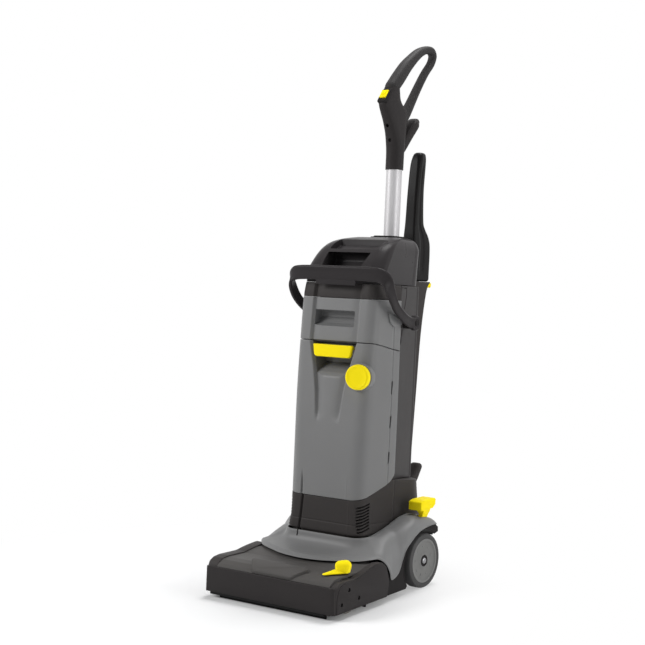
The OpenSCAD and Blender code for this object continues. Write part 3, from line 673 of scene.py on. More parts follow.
def line_through(knots):
    """A function of y that follows straight stretches between knots."""
    def height(y):
        if y <= knots[0][0]:
            return knots[0][1]
        for (y0, z0), (y1, z1) in zip(knots, knots[1:]):
            if y <= y1:
                return z0 + (z1 - z0) * (y - y0) / (y1 - y0)
        return knots[-1][1]
    return height


def flat_line(z):
    return lambda y: z


print("a line through two knots, half way:", line_through([(0, 10), (4, 20)])(2))

# %% [markdown]
# ## Cutting recesses
# Finger recesses and slots could be modelled into the rings, but they cross many of them. They are cut
# with a shaped block instead, as a mould maker would think of them. The block is used once and
# deleted, so only the finished mesh is left.

# %% Cutting


def cut_out(piece, *cutters, crease=32):
    for block in cutters:
        change = piece.modifiers.new("cut", "BOOLEAN")
        change.operation = "DIFFERENCE"
        change.solver = "EXACT"
        change.object = block
        bpy.context.view_layer.update()
        shaped = piece.evaluated_get(bpy.context.evaluated_depsgraph_get())
        solid = bpy.data.meshes.new_from_object(shaped)
        piece.modifiers.clear()
        piece.data = solid
        bpy.data.objects.remove(block)
    smooth(piece.data, crease)


def cutter(rings):
    tool = put("cutter", closed_mesh("cutter", *stack(rings)))
    tool.hide_render = True
    return tool


def slab_cutter(corners, low, high, edge, place, radius=2.0):
    return cutter(slab_rings(corners, low, high, edge, place, radius))


trial = slab_cutter([(0, 0), (9, 0), (9, 9), (0, 9)], 0, 5, 1, side_level)
print("a plain cutter has", len(trial.data.polygons), "faces")
bpy.data.objects.remove(trial)

# %% [markdown]
# ## The lower tank
# The lower tank is the largest moulding. A tapering panel is sunk into its front, the latch recess
# opens at the panel's top, and a groove with three slots runs down each side near the back. Blocks
# could cut the panel too, but sinking the points of the shell gives it soft edges. Only the pocket
# under the latch and the slots, which have sharp edges, are cut.

# %% Lower tank
SEAM = [(-60, 189), (-18, 190), (10, 197), (38, 207), (70, 219), (84, 227), (92, 236), (97, 248)]
TANK_SEAM = [(-60, 521), (4, 521), (30, 517), (70, 509), (98, 505)]
TANK_CUTS = [(180, 96, 105, -19, 97, 30, 4), (290, 97, 105, -18, 97, 30, 4), (415, 99, 105, -13, 97, 27, 4),
             (530, 100, 104, -5, 97, 24, 4), (613, 100, 103, 1, 97, 22, 4)]
seam = line_through(SEAM)
tank_seam = line_through(TANK_SEAM)
SEAM_GAP = 0.7
PANEL = [(357, 30), (415, 35), (467, 45), (521, 60), (610, 60), (640, 62)]
panel_half = line_through(PANEL)


def panel_relief(x, z):
    """The panel deepens towards the latch, and stays deeper along its two walls."""
    inside = panel_half(z) - abs(x)
    along_wall = 5.2 * groove(max(inside, 0), 13) * eased(345, 375, z)
    return eased(-4.0, 4.0, inside) * (3.8 * eased(335, 500, z) + along_wall * (1 - 0.5 * eased(480, 525, z)))


def tank_relief(mark, x, y, z):
    if mark[0] == "front":
        foot = 1 - eased(215, 250, z)
        return panel_relief(x, z) + 3.6 * foot * groove(x + 56.5, 2.2) - 0.7 * foot * groove(x - 60, 1.6)
    if mark[0] == "side":
        return 1.6 * groove(y - 72, 1.6)
    return 0


tank_marks = marks_round(merged(spaced(-1, 1, 21), spaced(-0.95, -0.3, 60), spaced(0.3, 0.95, 60)),
                         merged(spaced(0, 1, 14), spaced(0.68, 0.86, 16)))
lower_rings = shell_rings(TANK_CUTS, lambda y: seam(y) + SEAM_GAP, lambda y: tank_seam(y) - SEAM_GAP,
                          tank_marks, spaced(0, 1, 120), 1.6, tank_relief)
tank_lower = make("tank_lower_shell", *stack(lower_rings), "grey", "upright", ["tank_lower"])

POCKET = [(-40, 520), (36, 520), (36, 475), (20, 468), (8, 461.5), (-1, 454.5), (-7, 447), (-12, 439),
          (-40, 428)]
SIDE_SLOTS = [(413, 441), (341, 367), (265, 290)]


def between_walls(a, b, depth):
    """The pocket below the latch keeps to the panel's width at every height."""
    return leaning(depth * (panel_half(b) - 2), a, b)


cut_out(tank_lower, cutter([[between_walls(p.x, p.y, share) for p in rounded(POCKET, 3.0)]
                            for share in (-1, 1)]))
for low_z, high_z in SIDE_SLOTS:
    for side in (-1, 1):
        cut_out(tank_lower, slab_cutter([(69.5, low_z), (73.5, low_z), (75, high_z), (71, high_z)],
                                        side * 100 - 8, side * 100 + 8, 0.15, side_leaning, 0.6))
print("lower tank:", len(tank_lower.data.polygons), "faces")

# %% [markdown]
# ## The upper tank
# The upper tank shares the cuts of the lower one, so that their walls run on without a step. It could
# be one mesh with a line drawn on it, but the real ones are two mouldings with a gap between them. A
# hand recess is cut into its front, and a small clip stands on each side.

# %% Upper tank
upper_rings = shell_rings(TANK_CUTS, lambda y: tank_seam(y) + SEAM_GAP, flat_line(613), tank_marks,
                          spaced(0, 1, 50), 1.6, tank_relief)
tank_upper = make("tank_upper_shell", *stack(upper_rings), "grey", "upright", ["tank_upper"])
UPPER_RECESS = [(-40, 587), (30, 587), (29, 572), (15, 559), (-3, 551), (-40, 548)]
cut_out(tank_upper, slab_cutter(UPPER_RECESS, -57.5, 47, 2.4, side_leaning, 3.5))
CLIP = [(45, 586), (92, 570), (95, 562), (66, 557), (52, 566)]
for side, name in ((-1, "left"), (1, "right")):
    slab(f"tank_clip_{name}", CLIP, *span(side, 99, 106.4), 0.9, side_leaning, "grey", "upright")
print("upper tank:", len(tank_upper.data.polygons), "faces")

# %% [markdown]
# ## The band under the dome
# A dark band closes the upper tank. It could be a painted stripe, but on the machine it is a moulding
# of its own, and the sunk panel runs on across it.

# %% Band under the dome
CAP_CUTS = [(613, 99, 102, 1, 97, 22, 4), (625, 99, 102, 2, 97, 22, 4), (645, 98, 100, 6, 97, 22, 4)]
cap_rings = shell_rings(CAP_CUTS, flat_line(613.6), flat_line(645), tank_marks, spaced(0, 1, 16), 1.4,
                        lambda mark, x, y, z: panel_relief(x, 600) if mark[0] == "front" else 0)
make("tank_cap_band", *stack(cap_rings), "charcoal", "upright", ["tank_cap"])
print("band:", len(cap_rings), "rings")

# %% [markdown]
# ## The base
# The base carries the tanks. A crease runs round it, a groove runs down its left front, and nine
# slanted slots let the motors breathe at each front corner. A texture would show no depth in them, so
# each one is cut.

# %% Base
BASE_LINE = [(-60, 189), (-18, 190), (10, 197), (38, 207), (70, 219), (84, 227), (97, 229), (300, 215)]
BASE_CUTS = [(100, 90, 96, -12, 240, 24, 50), (114, 91, 97, -13, 242, 24, 50),
             (120, 97, 100, -18, 246, 20, 54), (146, 94, 101, -17, 244, 20, 56),
             (185, 94, 101, -17, 236, 22, 60), (240, 95, 101, -17, 228, 24, 62)]
base_line = line_through(BASE_LINE)


def base_relief(mark, x, y, z):
    depth = 0.9 * groove(z - 139, 1.3)
    if mark[0] == "front":
        depth += 4.5 * groove(x + 57.5 + 0.08 * (150 - z), 2.4)
        depth -= 0.7 * groove(x - 67, 1.5)
    if mark[0] == "side":
        depth += 1.2 * groove(y - 106, 1.5)
    return depth


base_marks = marks_round(merged(spaced(-1, 1, 31), spaced(-0.96, -0.7, 26), spaced(0.85, 0.98, 10)),
                         merged(spaced(0, 1, 30), spaced(0.55, 0.72, 14)))
base_rows = merged(spaced(0, 1, 40), spaced(0.25, 0.55, 40))
base_rings = shell_rings(BASE_CUTS, flat_line(100.2), base_line, base_marks, base_rows, 1.5, base_relief)
base = make("base_shell", *stack(base_rings), "charcoal", "upright", ["base_housing"])
VENTS, VENT_Z, VENT_STEP = 9, 122, 6.4
for i in range(VENTS):
    z = VENT_Z + VENT_STEP * i
    vent = [(-14, z), (21, z + 8), (21, z + 12), (-14, z + 4)]
    for side in (-1, 1):
        cut_out(base, slab_cutter(vent, *span(side, 82, 112), 0.3, side_leaning, 0.8))
print("base:", len(base.data.polygons), "faces")

# %% [markdown]
# ## The column
# The dark column stands behind the tanks and narrows towards its back. The edge of its access panel
# is a groove, not a second piece, so the points stand closer round it and nowhere else.

# %% Column


def near_path(a, b, path):
    """Distance from a point to a line of straight stretches."""
    here = Vector((a, b))
    best = 1e9
    for p, q in zip(path, path[1:]):
        p, q = Vector(p), Vector(q)
        t = min(max((here - p).dot(q - p) / (q - p).length_squared, 0), 1)
        best = min(best, (here - p.lerp(q, t)).length)
    return best


COLUMN_CUTS = [(210, 98, 58, 97, 243, 4, 20), (645, 98, 58, 97, 243, 4, 20)]
ACCESS_PANEL = [(100, 641), (139, 640), (138, 622), (128, 596)]


def column_relief(mark, x, y, z):
    if mark[0] != "side":
        return 0
    return 2.2 * groove(near_path(y, z, ACCESS_PANEL), 1.3)


column_marks = marks_round(spaced(-1, 1, 5), merged(spaced(0, 1, 24), spaced(0.0, 0.4, 40)))
column_rows = merged(spaced(0, 1, 24), spaced(0.86, 1, 44))
column_rings = shell_rings(COLUMN_CUTS, lambda y: base_line(y) + 0.6, flat_line(644.4), column_marks,
                           column_rows, 1.5, column_relief)
# The column is charcoal like the base, but it takes the darker panel finish: painted shade that holds back
# the light the lamps on the right throw on its side.
column = make("column_shell", *stack(column_rings), "panel", "upright", ["column"])
NOTCH = [(90, 563), (119, 553), (112, 533), (106, 520), (90, 520)]
SLOT = [(233, 576), (250, 576), (250, 630), (233, 630)]
for side in (-1, 1):
    cut_out(column, slab_cutter(NOTCH, *span(side, 84, 112), 0.6, side_leaning, 2.0),
            slab_cutter(SLOT, *span(side, 38, 75), 0.6, side_leaning, 2.0))
print("column:", len(column.data.polygons), "faces")

# %% [markdown]
# ## The dome
# The dome covers the suction motor. A hand recess is sunk into its front, with a carrying bar along
# the top of the recess and a shallow tray above that. It could be sculpted, but eight level cuts give
# its form, and two shaped blocks take out the recess and the tray.

# %% Dome
DOME_CUTS = [(645, 100, 68, 9, 236, 22, 50), (672, 100, 68, 12, 237, 24, 48), (690, 98, 67, 20, 238, 28, 46),
             (708, 95, 66, 34, 239, 28, 43), (724, 90, 65, 50, 239, 28, 40), (736, 83, 61, 70, 236, 28, 38),
             (744, 73, 55, 98, 231, 28, 34), (749, 58, 45, 130, 223, 26, 28)]
dome_marks = marks_round(spaced(-1, 1, 31), spaced(0, 1, 31))
dome_rows = spaced(0, 0.6, 22) + spaced(0.62, 1, 46)
dome_rings = shell_rings(DOME_CUTS, flat_line(645.4), flat_line(749), dome_marks, dome_rows, 1.2)
dome = make("dome_shell", *stack(dome_rings), "dome", "upright", ["dome", "dome_tray"])
HAND_RECESS = [(-10, 668), (30, 669, 12), (56, 676, 14), (66, 694, 12), (62, 712, 6), (-10, 712)]
TOP_TRAY = [(44, 719.5), (51, 711), (82, 727), (88, 745), (62, 762), (28, 740)]


def narrowing(a, b, depth):
    """The recess's right end slants in towards its foot."""
    return leaning(depth - (0.28 * (712 - b) if depth > 0 else 0), a, b)


cut_out(dome, slab_cutter(HAND_RECESS, -54, 58, 3.5, narrowing, 6.0),
        slab_cutter(TOP_TRAY, -56, 68, 1.6, side_leaning, 3.5))
print("dome:", len(dome.data.polygons), "faces")

# %% [markdown]
# ## The collar and the tube
# A stepped collar holds the handle tube on top of the dome. The tube is turned. The collar can't be,
# because it is oblong, so it comes from level cuts like the tanks.

# %% Collar and tube
collar_low = [(749.2, 31, 31, 150, 226, 15, 15), (751.5, 31, 31, 150, 226, 15, 15)]
collar_high = [(751.5, 27, 27, 156, 221, 13, 13), (754, 26, 26, 157, 220, 13, 13)]
collar_marks = marks_round(spaced(-1, 1, 5), spaced(0, 1, 5))
collar_piles = [shell_rings(cuts, flat_line(cuts[0][0]), flat_line(cuts[-1][0]), collar_marks, [0, 1], 0.6)
                for cuts in (collar_low, collar_high)]
make("tube_collar_ring", *stack(*collar_piles), "black_plastic", "upright", ["tube_collar"])

TUBE_R, TUBE_Y = 17.5, 196
tube_profile = [(745, TUBE_R), (900, TUBE_R), (965, TUBE_R)]


def about_tube(d, a, b):
    return leaning(a, TUBE_Y + b, d)


make("handle_tube", *stack(turned(tube_profile, about_tube, 72)), "tube_steel", "upright")
print("tube radius", TUBE_R)

# %% [markdown]
# ## Lines with a section
# The loop and the hooks follow a line in the side view, and the bail one in space. A curve object with
# a bevel can only scale its section, but these change their width and their thickness separately. So
# `ribbon_rings` puts a ring of its own size at each station, and its ends close in a round.

# %% Ribbons


def soft_ring(wide, thick, power, count=28):
    """A ring between an ellipse (power 2) and a rectangle (large power)."""
    def swelled(share):
        return math.copysign(abs(share) ** (2 / power), share)
    return [(wide * swelled(math.cos(a)), thick * swelled(math.sin(a))) for a in bearings(count)]


def round_ends(stations, ends=(True, True), parts=5):
    """Stations (y, z, thick, wide) with a shrinking run added past each end."""
    stations = list(stations)
    for at_end in (0, 1):
        if not ends[at_end]:
            continue
        if at_end:
            stations.reverse()
        tip, inner = stations[0], stations[1]
        away = (Vector(tip[:2]) - Vector(inner[:2])).normalized()
        reach = min(tip[2], tip[3])
        caps = []
        for s in range(1, parts + 1):
            turn = math.pi / 2 * s / parts * 0.97
            p = Vector(tip[:2]) + away * reach * math.sin(turn)
            less = reach * (1 - math.cos(turn))
            caps.append((p.x, p.y, tip[2] - less, tip[3] - less))
        stations = caps[::-1] + stations
        if at_end:
            stations.reverse()
    return stations


def run_of(stations, k, size):
    """The direction of a line at one of its stations, from the stations beside it."""
    before, after = stations[max(k - 1, 0)], stations[min(k + 1, len(stations) - 1)]
    return (Vector(after[:size]) - Vector(before[:size])).normalized()


def ribbon_rings(knots, power, steps=5, ends=(True, True), middle=0.0):
    stations = round_ends(spline(knots, steps), ends)
    rings = []
    for k, (y, z, thick, wide) in enumerate(stations):
        along = run_of(stations, k, 2)
        rings.append([leaning(middle + a, y - along.y * b, z + along.x * b)
                      for a, b in soft_ring(wide, thick, power)])
    return rings


print("points round a section:", len(soft_ring(10, 5, 2.3)))

# %% [markdown]
# ## The grip
# The grip is two half shells, screwed together. Its parting line could be left to a texture, but it
# catches the light, so the rings are sunk along it on both sides.

# %% Grip body
GRIP = [(902, 176, 216, 20), (945, 176, 216.5, 20), (968, 172.5, 218, 19), (985, 166.5, 221, 17.5),
        (1006, 155, 226, 16), (1024, 143, 230, 15.5), (1036, 136.5, 226, 15.5), (1044, 135.5, 210, 15.5),
        (1056, 141, 197, 15.5), (1072, 152, 191, 15.5), (1086, 162, 188, 14.5), (1096, 172, 184, 11)]
PARTING = [(196, 890), (196, 975), (188, 1010), (172, 1040), (166, 1056), (170, 1078), (184, 1110)]


def grip_rings():
    rings = []
    for z, front, back, wide in spline(GRIP, 7):
        power = 2.0 + 1.1 * eased(930, 1000, z)
        ring = []
        for x, d in soft_ring(wide, (back - front) / 2, power, 44):
            y = (front + back) / 2 + d
            sink = 0.7 * groove(near_path(y, z, PARTING), 0.9) if abs(x) > 0.5 * wide else 0
            ring.append(leaning(x - math.copysign(sink, x), y, z))
        rings.append(ring)
    return rings


grip = make("grip_body", *stack(grip_rings()), "panel", "upright", ["grip_front", "grip_back"])
GRIP_SCREWS = [(178, 966), (171, 997)]
cut_out(grip, *[cutter(turned([(120, 4.2), (y, 4.2)], along_y(0, z), 24)) for y, z in GRIP_SCREWS])
print("grip:", len(grip.data.polygons), "faces")

# %% [markdown]
# The screws sit in round holes and have hexagon sockets. A flat disc with a texture would show no
# shadow in its socket, so the socket is modelled, small as it is.

# %% Grip screws
SCREW_SIDES = 24


def screw_head(name, place, radius, body, replaced=(), finish="steel"):
    """A pan head with a hexagon socket: rings from the rim in to the socket's floor. It faces -d."""
    profile = [(2.4, 0.6), (2.4, 0.98), (0.8, 0.98), (0.25, 0.85), (0, 0.55)]
    rings = turned([(d, radius * share) for d, share in profile], place, SCREW_SIDES)
    for d in (0.0, 1.2):
        hexagon = []
        for a in bearings(SCREW_SIDES):
            r = radius * 0.48 * math.cos(math.pi / 6) / math.cos((a % (math.pi / 3)) - math.pi / 6)
            hexagon.append(place(d, r * math.cos(a), r * math.sin(a)))
        rings.append(hexagon)
    return make(name, *stack(rings), finish, body, replaced)


# These screws are steel, but they take the black finish: painted shade for the deep holes that they sit in.
for number, (y, z) in enumerate(GRIP_SCREWS):
    screw_head(f"grip_screw_{number}", lambda d, a, b, y=y, z=z: leaning(a, y - 2.6 + d, z + b), 4.0,
               "upright", ["grip_screws"] if number == 0 else (), "black_plastic")
print("grip screws:", len(GRIP_SCREWS))

# %% [markdown]
# ## The loop and the cable hooks
# The loop is a bent line under a soft cover, thickest where it leaves the grip. The cable hooks are
# shorter lines of the same kind: the upper one is fixed, and the lower one turns on a round boss.

# %% Loop and cable hooks
LOOP = [(172, 1082, 15, 15), (184, 1094, 15.5, 15.5), (200, 1111, 15.5, 15.5), (222, 1134, 14.5, 14.5),
        (246, 1154, 12.5, 13.2), (270, 1171, 11, 12), (292, 1181, 9.5, 11), (310, 1185, 9, 10.5),
        (323, 1184, 9, 10.2), (330, 1177, 8.5, 10), (330, 1168, 8, 10), (322, 1153, 8, 10),
        (300, 1129, 8, 10), (276, 1097, 8, 10.5), (252, 1062, 8.5, 11.5), (236, 1039, 9, 13),
        (222, 1020, 9.5, 13.5), (212, 1006, 9, 12)]
make("handle_loop", *stack(ribbon_rings(LOOP, 2.3, 6, (True, False))), "grip", "upright", ["grip_loop"])
UPPER_HOOK = [(208, 944, 11, 12), (224, 966, 12, 14), (237, 984, 12, 16), (249, 999, 11.5, 18),
              (258, 1009, 10.5, 18), (265, 1016, 8, 14)]
make("upper_cable_hook", *stack(ribbon_rings(UPPER_HOOK, 3.2, 5)), "panel", "upright")
LOWER_HOOK = [(252, 193, 13.5, 13), (270, 198, 12, 13.5), (284, 209, 10, 14), (295, 224, 8.5, 14),
              (303, 236, 8, 14)]
HOOK_X, HOOK_Z = 24, 192
hook_pile = ribbon_rings(LOWER_HOOK, 3.2, 5, middle=HOOK_X)
boss_pile = turned([(241.4, 12.5), (241.9, 14), (256, 14), (258, 12)], along_y(HOOK_X, HOOK_Z), 40)
make("lower_cable_hook", *stack(hook_pile, boss_pile), "charcoal", "cable_hook", ["cable_hook"])
print("loop and hooks made")

# %% [markdown]
# ## The switch
# A rocker lies in a frame on the slope of the grip, with a small round lens above it. Each piece could
# be turned by its own angles, but one placing function tilts all of them alike.

# %% Switch
SWITCH_Y, SWITCH_Z, SWITCH_TILT = 146, 1062, math.radians(55)


def switch_place(a, b, depth):
    return leaning(a, SWITCH_Y + b * math.cos(SWITCH_TILT) - depth * math.sin(SWITCH_TILT),
                   SWITCH_Z + b * math.sin(SWITCH_TILT) + depth * math.cos(SWITCH_TILT))


bezel = slab("switch_bezel_frame", [(-11, -21), (11, -21), (11, 14.5), (-11, 14.5)], -14, 3.2, 1.2,
             switch_place, "black_plastic", "upright", ["switch_bezel"], 3.0)
cut_out(bezel, slab_cutter([(-9, -12), (9, -12), (9, 12), (-9, 12)], -8, 6, 0.4, switch_place, 1.2))
rocker_low = slab_rings([(-8.6, -10.5), (8.6, -10.5), (8.6, 10.5), (-8.6, 10.5)], -4, 5.6, 1.4,
                        switch_place, 1.5)
rocker_high = slab_rings([(-5.2, -3), (5.2, -3), (5.2, 6.5), (-5.2, 6.5)], 4.5, 7.0, 0.7, switch_place, 1.2)
make("rocker_key", *stack(rocker_low, rocker_high), "yellow", "rocker", ["rocker"])
LENS = [(-9, 3.4), (-1.6, 3.4), (-0.7, 3.0), (0.3, 1.8), (0.7, 0.6)]
lens = turned(LENS, lambda d, a, b: switch_place(a, 20.5 + b, d), 28)
make("indicator_lens", *stack(lens), "steel", "upright")
print("switch made")

# %% [markdown]
# ## The latch and the fill cap
# A hand reaches for these, so both are yellow. The latch is two slabs, a handle and a root. The cap is
# turned and screws into a collar at the tank's corner. Each rides on its own body, so that it moves
# with its joint.

# %% Latch and fill cap
HANDLE = [(-49.5, 513.5, 2.5), (52, 513.5, 2.5), (48, 487, 9), (-45.5, 487, 9)]
ROOT = [(-50, 511.5), (50, 511.5), (50, 505), (-50, 505)]
latch_front = slab_rings(HANDLE, -11, -1, 2.4, front_leaning)
latch_root = slab_rings(ROOT, -3, 6.6, 0.8, front_leaning, 1.0)
make("latch_handle", *stack(latch_front, latch_root), "yellow", "latch", ["latch"])

CAP_X, CAP_Y, CAP_Z, CAP_TURN = 77, -6, 450, math.radians(12)


def cap_place(d, a, b):
    return leaning(CAP_X + a * math.cos(CAP_TURN) - d * math.sin(CAP_TURN),
                   CAP_Y + a * math.sin(CAP_TURN) + d * math.cos(CAP_TURN), CAP_Z + b)


cap_profile = [(-12.4, 26), (-12.7, 26.7), (-14, 27), (-22, 26.4), (-24.2, 25.6), (-25.4, 24.0),
               (-25.9, 22.0), (-25.2, 20.6), (-25.0, 12), (-25.3, 4)]
make("filler_cap", *stack(turned(cap_profile, cap_place)), "yellow", "fill_cap", ["fill_cap"])
collar_profile = [(8, 29), (-8, 29.6), (-10.4, 29.2), (-11.6, 28), (-11.9, 26)]
make("filler_collar", *stack(turned(collar_profile, cap_place)), "grey", "upright")
print("cap radius:", max(r for d, r in cap_profile))

# %% [markdown]
# ## The bail
# The carrying bail is a flat strip, bent round three sides of the body and hinged on two bosses. A
# strip along a curve object could twist in its bends, so each station here also says which way is
# outwards: (x, y, z, outwards x, outwards y, height).

# %% Bail
BAIL = [(0, -6, 666, 0, -1, 31), (60, -6, 666, 0, -1, 31), (96, -5, 665, 0.1, -1, 31),
        (114, -2, 662, 0.45, -0.9, 30), (125, 3, 653, 0.8, -0.6, 28), (128, 10, 637, 1, -0.2, 26),
        (128, 24, 616, 1, 0, 23), (125, 44, 597, 1, 0, 21), (121, 78, 578, 1, 0, 21),
        (117, 106, 569, 1, 0, 22), (116, 126, 566, 1, 0, 24)]


def bail_rings():
    left = [(-x, y, z, -nx, ny, tall) for x, y, z, nx, ny, tall in reversed(BAIL[1:])]
    stations = spline(left + BAIL, 5)
    rings = []
    for k, (x, y, z, nx, ny, tall) in enumerate(stations):
        along = run_of(stations, k, 3)
        out = Vector((nx, ny, 0)).normalized()
        out = (out - along * out.dot(along)).normalized()
        up = along.cross(out)
        if up.z < 0 or abs(up.z) < 0.2 and up.y < 0:
            up = -up
        ring = []
        for a, b in soft_ring(4.2, tall / 2, 4.5, 40):
            swell = 1.3 * groove(b / tall - 0.36, 0.1) if a > 0 else 0
            p = Vector((x, y, z)) + out * (a + swell) + up * b
            ring.append(leaning(*p))
        rings.append(ring)
    return rings


BAIL_Y, BAIL_Z = 130, 566
HUB = [(112, 15), (112.4, 16.5), (119, 16.5), (120.4, 15.2), (120.4, 9), (119.6, 8.4), (119.6, 5)]
BOSS = [(78, 13), (110, 13), (111.4, 12), (111.4, 6), (120.6, 6), (121.2, 5)]
TAB = [(-51, 641), (53, 640.5), (53, 656), (-51, 656)]


def on_both_sides(profile):
    return [turned([(side * x, r) for x, r in profile], along_x(BAIL_Y, BAIL_Z), 48) for side in (-1, 1)]


tab = slab_rings(TAB, -8.8, -6.0, 1.0, front_leaning, 2.5)
make("carrying_bail", *stack(bail_rings(), *on_both_sides(HUB), tab), "dome", "bail", ["bail"])
make("bail_bosses", *stack(*on_both_sides(BOSS)), "black_plastic", "upright", ["bail_pins"])
print("bail made")

# %% [markdown]
# ## The stowed wand
# The suction wand hangs in a holder on the column's back. Its top is rounded over, and a long groove
# runs down each side. It comes from level cuts like the tanks, because it leans, widens and narrows
# on its way up, which a bar with bevelled edges wouldn't.

# %% Wand
HOLDER_CUTS = [(272, 16, 14, 252, 302, 4, 8), (410, 17, 15, 252, 309, 4, 8), (540, 18, 16, 252, 316, 4, 8),
               (634, 20, 18, 254, 328, 4, 8), (657, 20, 18, 258, 344, 4, 10)]
WAND_CUTS = [(657.4, 17, 15, 264, 342, 5, 12), (731, 17, 15, 266, 342, 5, 12), (757, 16, 14, 266, 336, 5, 12),
             (777, 15, 13, 267, 320, 5, 11), (795, 15, 13, 268, 312, 6, 11), (860, 15, 13, 271, 308, 7, 11),
             (915, 15, 13, 276, 311, 8, 11), (937, 14, 12, 280, 313, 10, 11), (950, 11, 10, 286, 310, 9, 9)]


def wand_relief(mark, x, y, z):
    if mark[0] != "side":
        return 0
    across = eased(0.30, 0.42, mark[2]) * (1 - eased(0.58, 0.70, mark[2]))
    return 1.4 * across * eased(672, 690, z) * (1 - eased(905, 925, z))


def block(x0, x1, y0, y1, z0, z1):
    """Rings of a plain block on the upright."""
    return [[leaning(x, y, z) for x, y in [(x0, y0), (x1, y0), (x1, y1), (x0, y1)]] for z in (z0, z1)]


wand_marks = marks_round(spaced(-1, 1, 7), spaced(0, 1, 33))
wand_rings = shell_rings(WAND_CUTS, flat_line(657.6), flat_line(950), wand_marks, spaced(0, 1, 70), 5.5,
                         wand_relief)
spigot = block(-11, 11, 275, 300, 600, 662)
make("suction_wand", *stack(wand_rings, spigot), "wand", "wand", ["wand"])
holder_rings = shell_rings(HOLDER_CUTS, flat_line(272), flat_line(657), wand_marks, spaced(0, 1, 40), 1.6)
holder = make("wand_holder_shell", *stack(holder_rings), "charcoal", "upright", ["wand_holder"])
cut_out(holder, cutter(block(-11.3, 11.3, 274.7, 300.3, 599.7, 661.7)),
        cutter(block(2.7, 11.3, 303.7, 345, 644.7, 653.3)))
feet = [block(-14, 14, 242.6, 256, low_z, high_z) for low_z, high_z in ((300, 324), (600, 644))]
make("holder_feet", *stack(*feet), "charcoal", "upright")
CATCH = [(308, 645.2), (346.4, 645.2), (347, 643.8), (351, 644.5), (353, 650), (351, 655), (348.0, 655.2),
         (347.4, 652.8), (308, 652.8)]
slab("catch_tab", [(a, b, 1.4) for a, b in CATCH], 3.2, 10.8, 1.0, side_leaning, "yellow", "catch", ["catch"])
print("wand, holder and catch made")

# %% [markdown]
# ## The hood
# The hood is the form that takes the most care. It starts as a straight edge round the base, sweeps
# out in a hollow curve at the front, and turns into a full round fender over each wheel. It could be
# modelled by hand from a bent sheet, but then its wall and its edges would have to be kept even by
# eye. Here each station has an opening edge (x, y, z), an outer edge (x, y, z), how full the curve
# is, how high its crest stands and how far its bend lies from the opening.

# %% Hood
HOOD = [(0, -18, 125, 0, -90, 88, 0.0, 0, 0.0), (45, -18, 125, 52, -84, 88.5, 0.0, 0, 0.0),
        (78, -17, 125, 97, -68, 90, 0.0, 0, 0.0), (94, -10, 125, 127, -54, 91, 0.02, 0, 0.02),
        (102, 2, 125.3, 145, -37, 93, 0.12, 0, 0.12), (104, 16, 126.6, 156, -22, 92.5, 0.4, 0, 0.4),
        (104, 30, 128.4, 163.5, -9, 81, 0.68, 1, 0.5), (104, 44, 130.6, 165.3, 2, 63, 0.84, 2, 0.45),
        (104, 57, 133, 165.5, 10, 43.5, 0.92, 4, 0.36), (104, 71, 136, 165.5, 36, 52, 0.92, 6, 0.5),
        (104, 86, 140, 165.5, 51, 76, 0.92, 9, 0.5), (104, 101, 144, 165.5, 64, 95, 0.92, 12, 0.42),
        (104, 116, 148, 165.5, 84, 109, 0.92, 14, 0.44), (104, 131, 151, 165.5, 108, 122, 0.92, 15, 0.63),
        (104, 147, 152, 165.5, 132, 129, 0.92, 14, 0.7), (104, 164, 149, 165, 160, 131.5, 0.91, 12, 0.9),
        (106, 180, 143, 163, 183, 130.5, 0.9, 8, 0.9), (112, 193, 134, 157, 195, 127, 0.9, 3, 0.9)]
HOOD_WALL = 2.6


def hood_ring(x0, y0, z0, x1, y1, z1, full, crest, skew):
    inner, outer = Vector((x0, y0, z0)), Vector((x1, y1, z1))
    bend = Vector((x0 + (x1 - x0) * full, y0 + (y1 - y0) * skew, z1 + (z0 + crest - z1) * full))
    flat = Vector((x1 - x0, y1 - y0, 0)).normalized()
    flare = 1 - min(full / 0.45, 1)
    top, under = [], []
    for t in spaced(0, 0.86, 20) + spaced(0.88, 1, 10):
        p = inner.lerp(bend, t).lerp(bend.lerp(outer, t), t)
        v = (bend - inner).lerp(outer - bend, t)
        run = Vector((v.dot(flat), v.z)).normalized()
        normal = flat * run.y + Vector((0, 0, -run.x))
        p.z += 4.2 * flare * (eased(0.25, 0.86, t) - eased(0.89, 0.99, t))
        bead = 0.9 * (1 - flare) * groove(t - 0.95, 0.025)
        rim = HOOD_WALL / 2 * (1 - math.sqrt(max(0, 1 - max(0, abs(t - 0.5) * 2 - 0.94) ** 2 / 0.0036)))
        top.append(p + normal * (rim - bead))
        under.append(p + normal * (HOOD_WALL - rim))
    return [level(*p) for p in top + under[::-1]]


def hood_rings():
    left = [(-s[0], s[1], s[2], -s[3], *s[4:]) for s in reversed(HOOD[1:])]
    return [hood_ring(*s[:6], min(max(s[6], 0), 1), *s[7:]) for s in spline(left + HOOD, 7)]


def band_stack(rings):
    """Closed stack of rings whose ends are thin bands, closed by a strip across the wall."""
    count, last = len(rings[0]), len(rings) - 1
    faces = walls(rings)
    for base in (0, last * count):
        faces += [(base + i, base + i + 1, base + count - 2 - i, base + count - 1 - i)
                  for i in range(count // 2 - 1)]
    return flattened(rings), faces


hood = make("hood_shell", *band_stack(hood_rings()), "grey", "head", ["hood"], 40)
STEM_SLOT = [(136, 140), (150, 140), (150, 184), (136, 184)]
FRONT_NICK = [(-62, -28), (-58.5, -28), (-58.5, -14), (-62, -14)]
cut_out(hood, slab_cutter(STEM_SLOT, 118, 180, 0.5, level, 3.0),
        slab_cutter(FRONT_NICK, 112, 130, 0.2, level, 0.8), crease=40)
print("hood:", len(hood.data.polygons), "faces")

# %% [markdown]
# ## The brush head
# The deck is one line seen from the side, carried across the head. A lid sits on its front slope and a
# flat panel closes the front. The chambers for the brush and the squeegees are cut from below. A thin
# sheet would need no cuts, but its wall would be even, and this one is thicker over the squeegees.

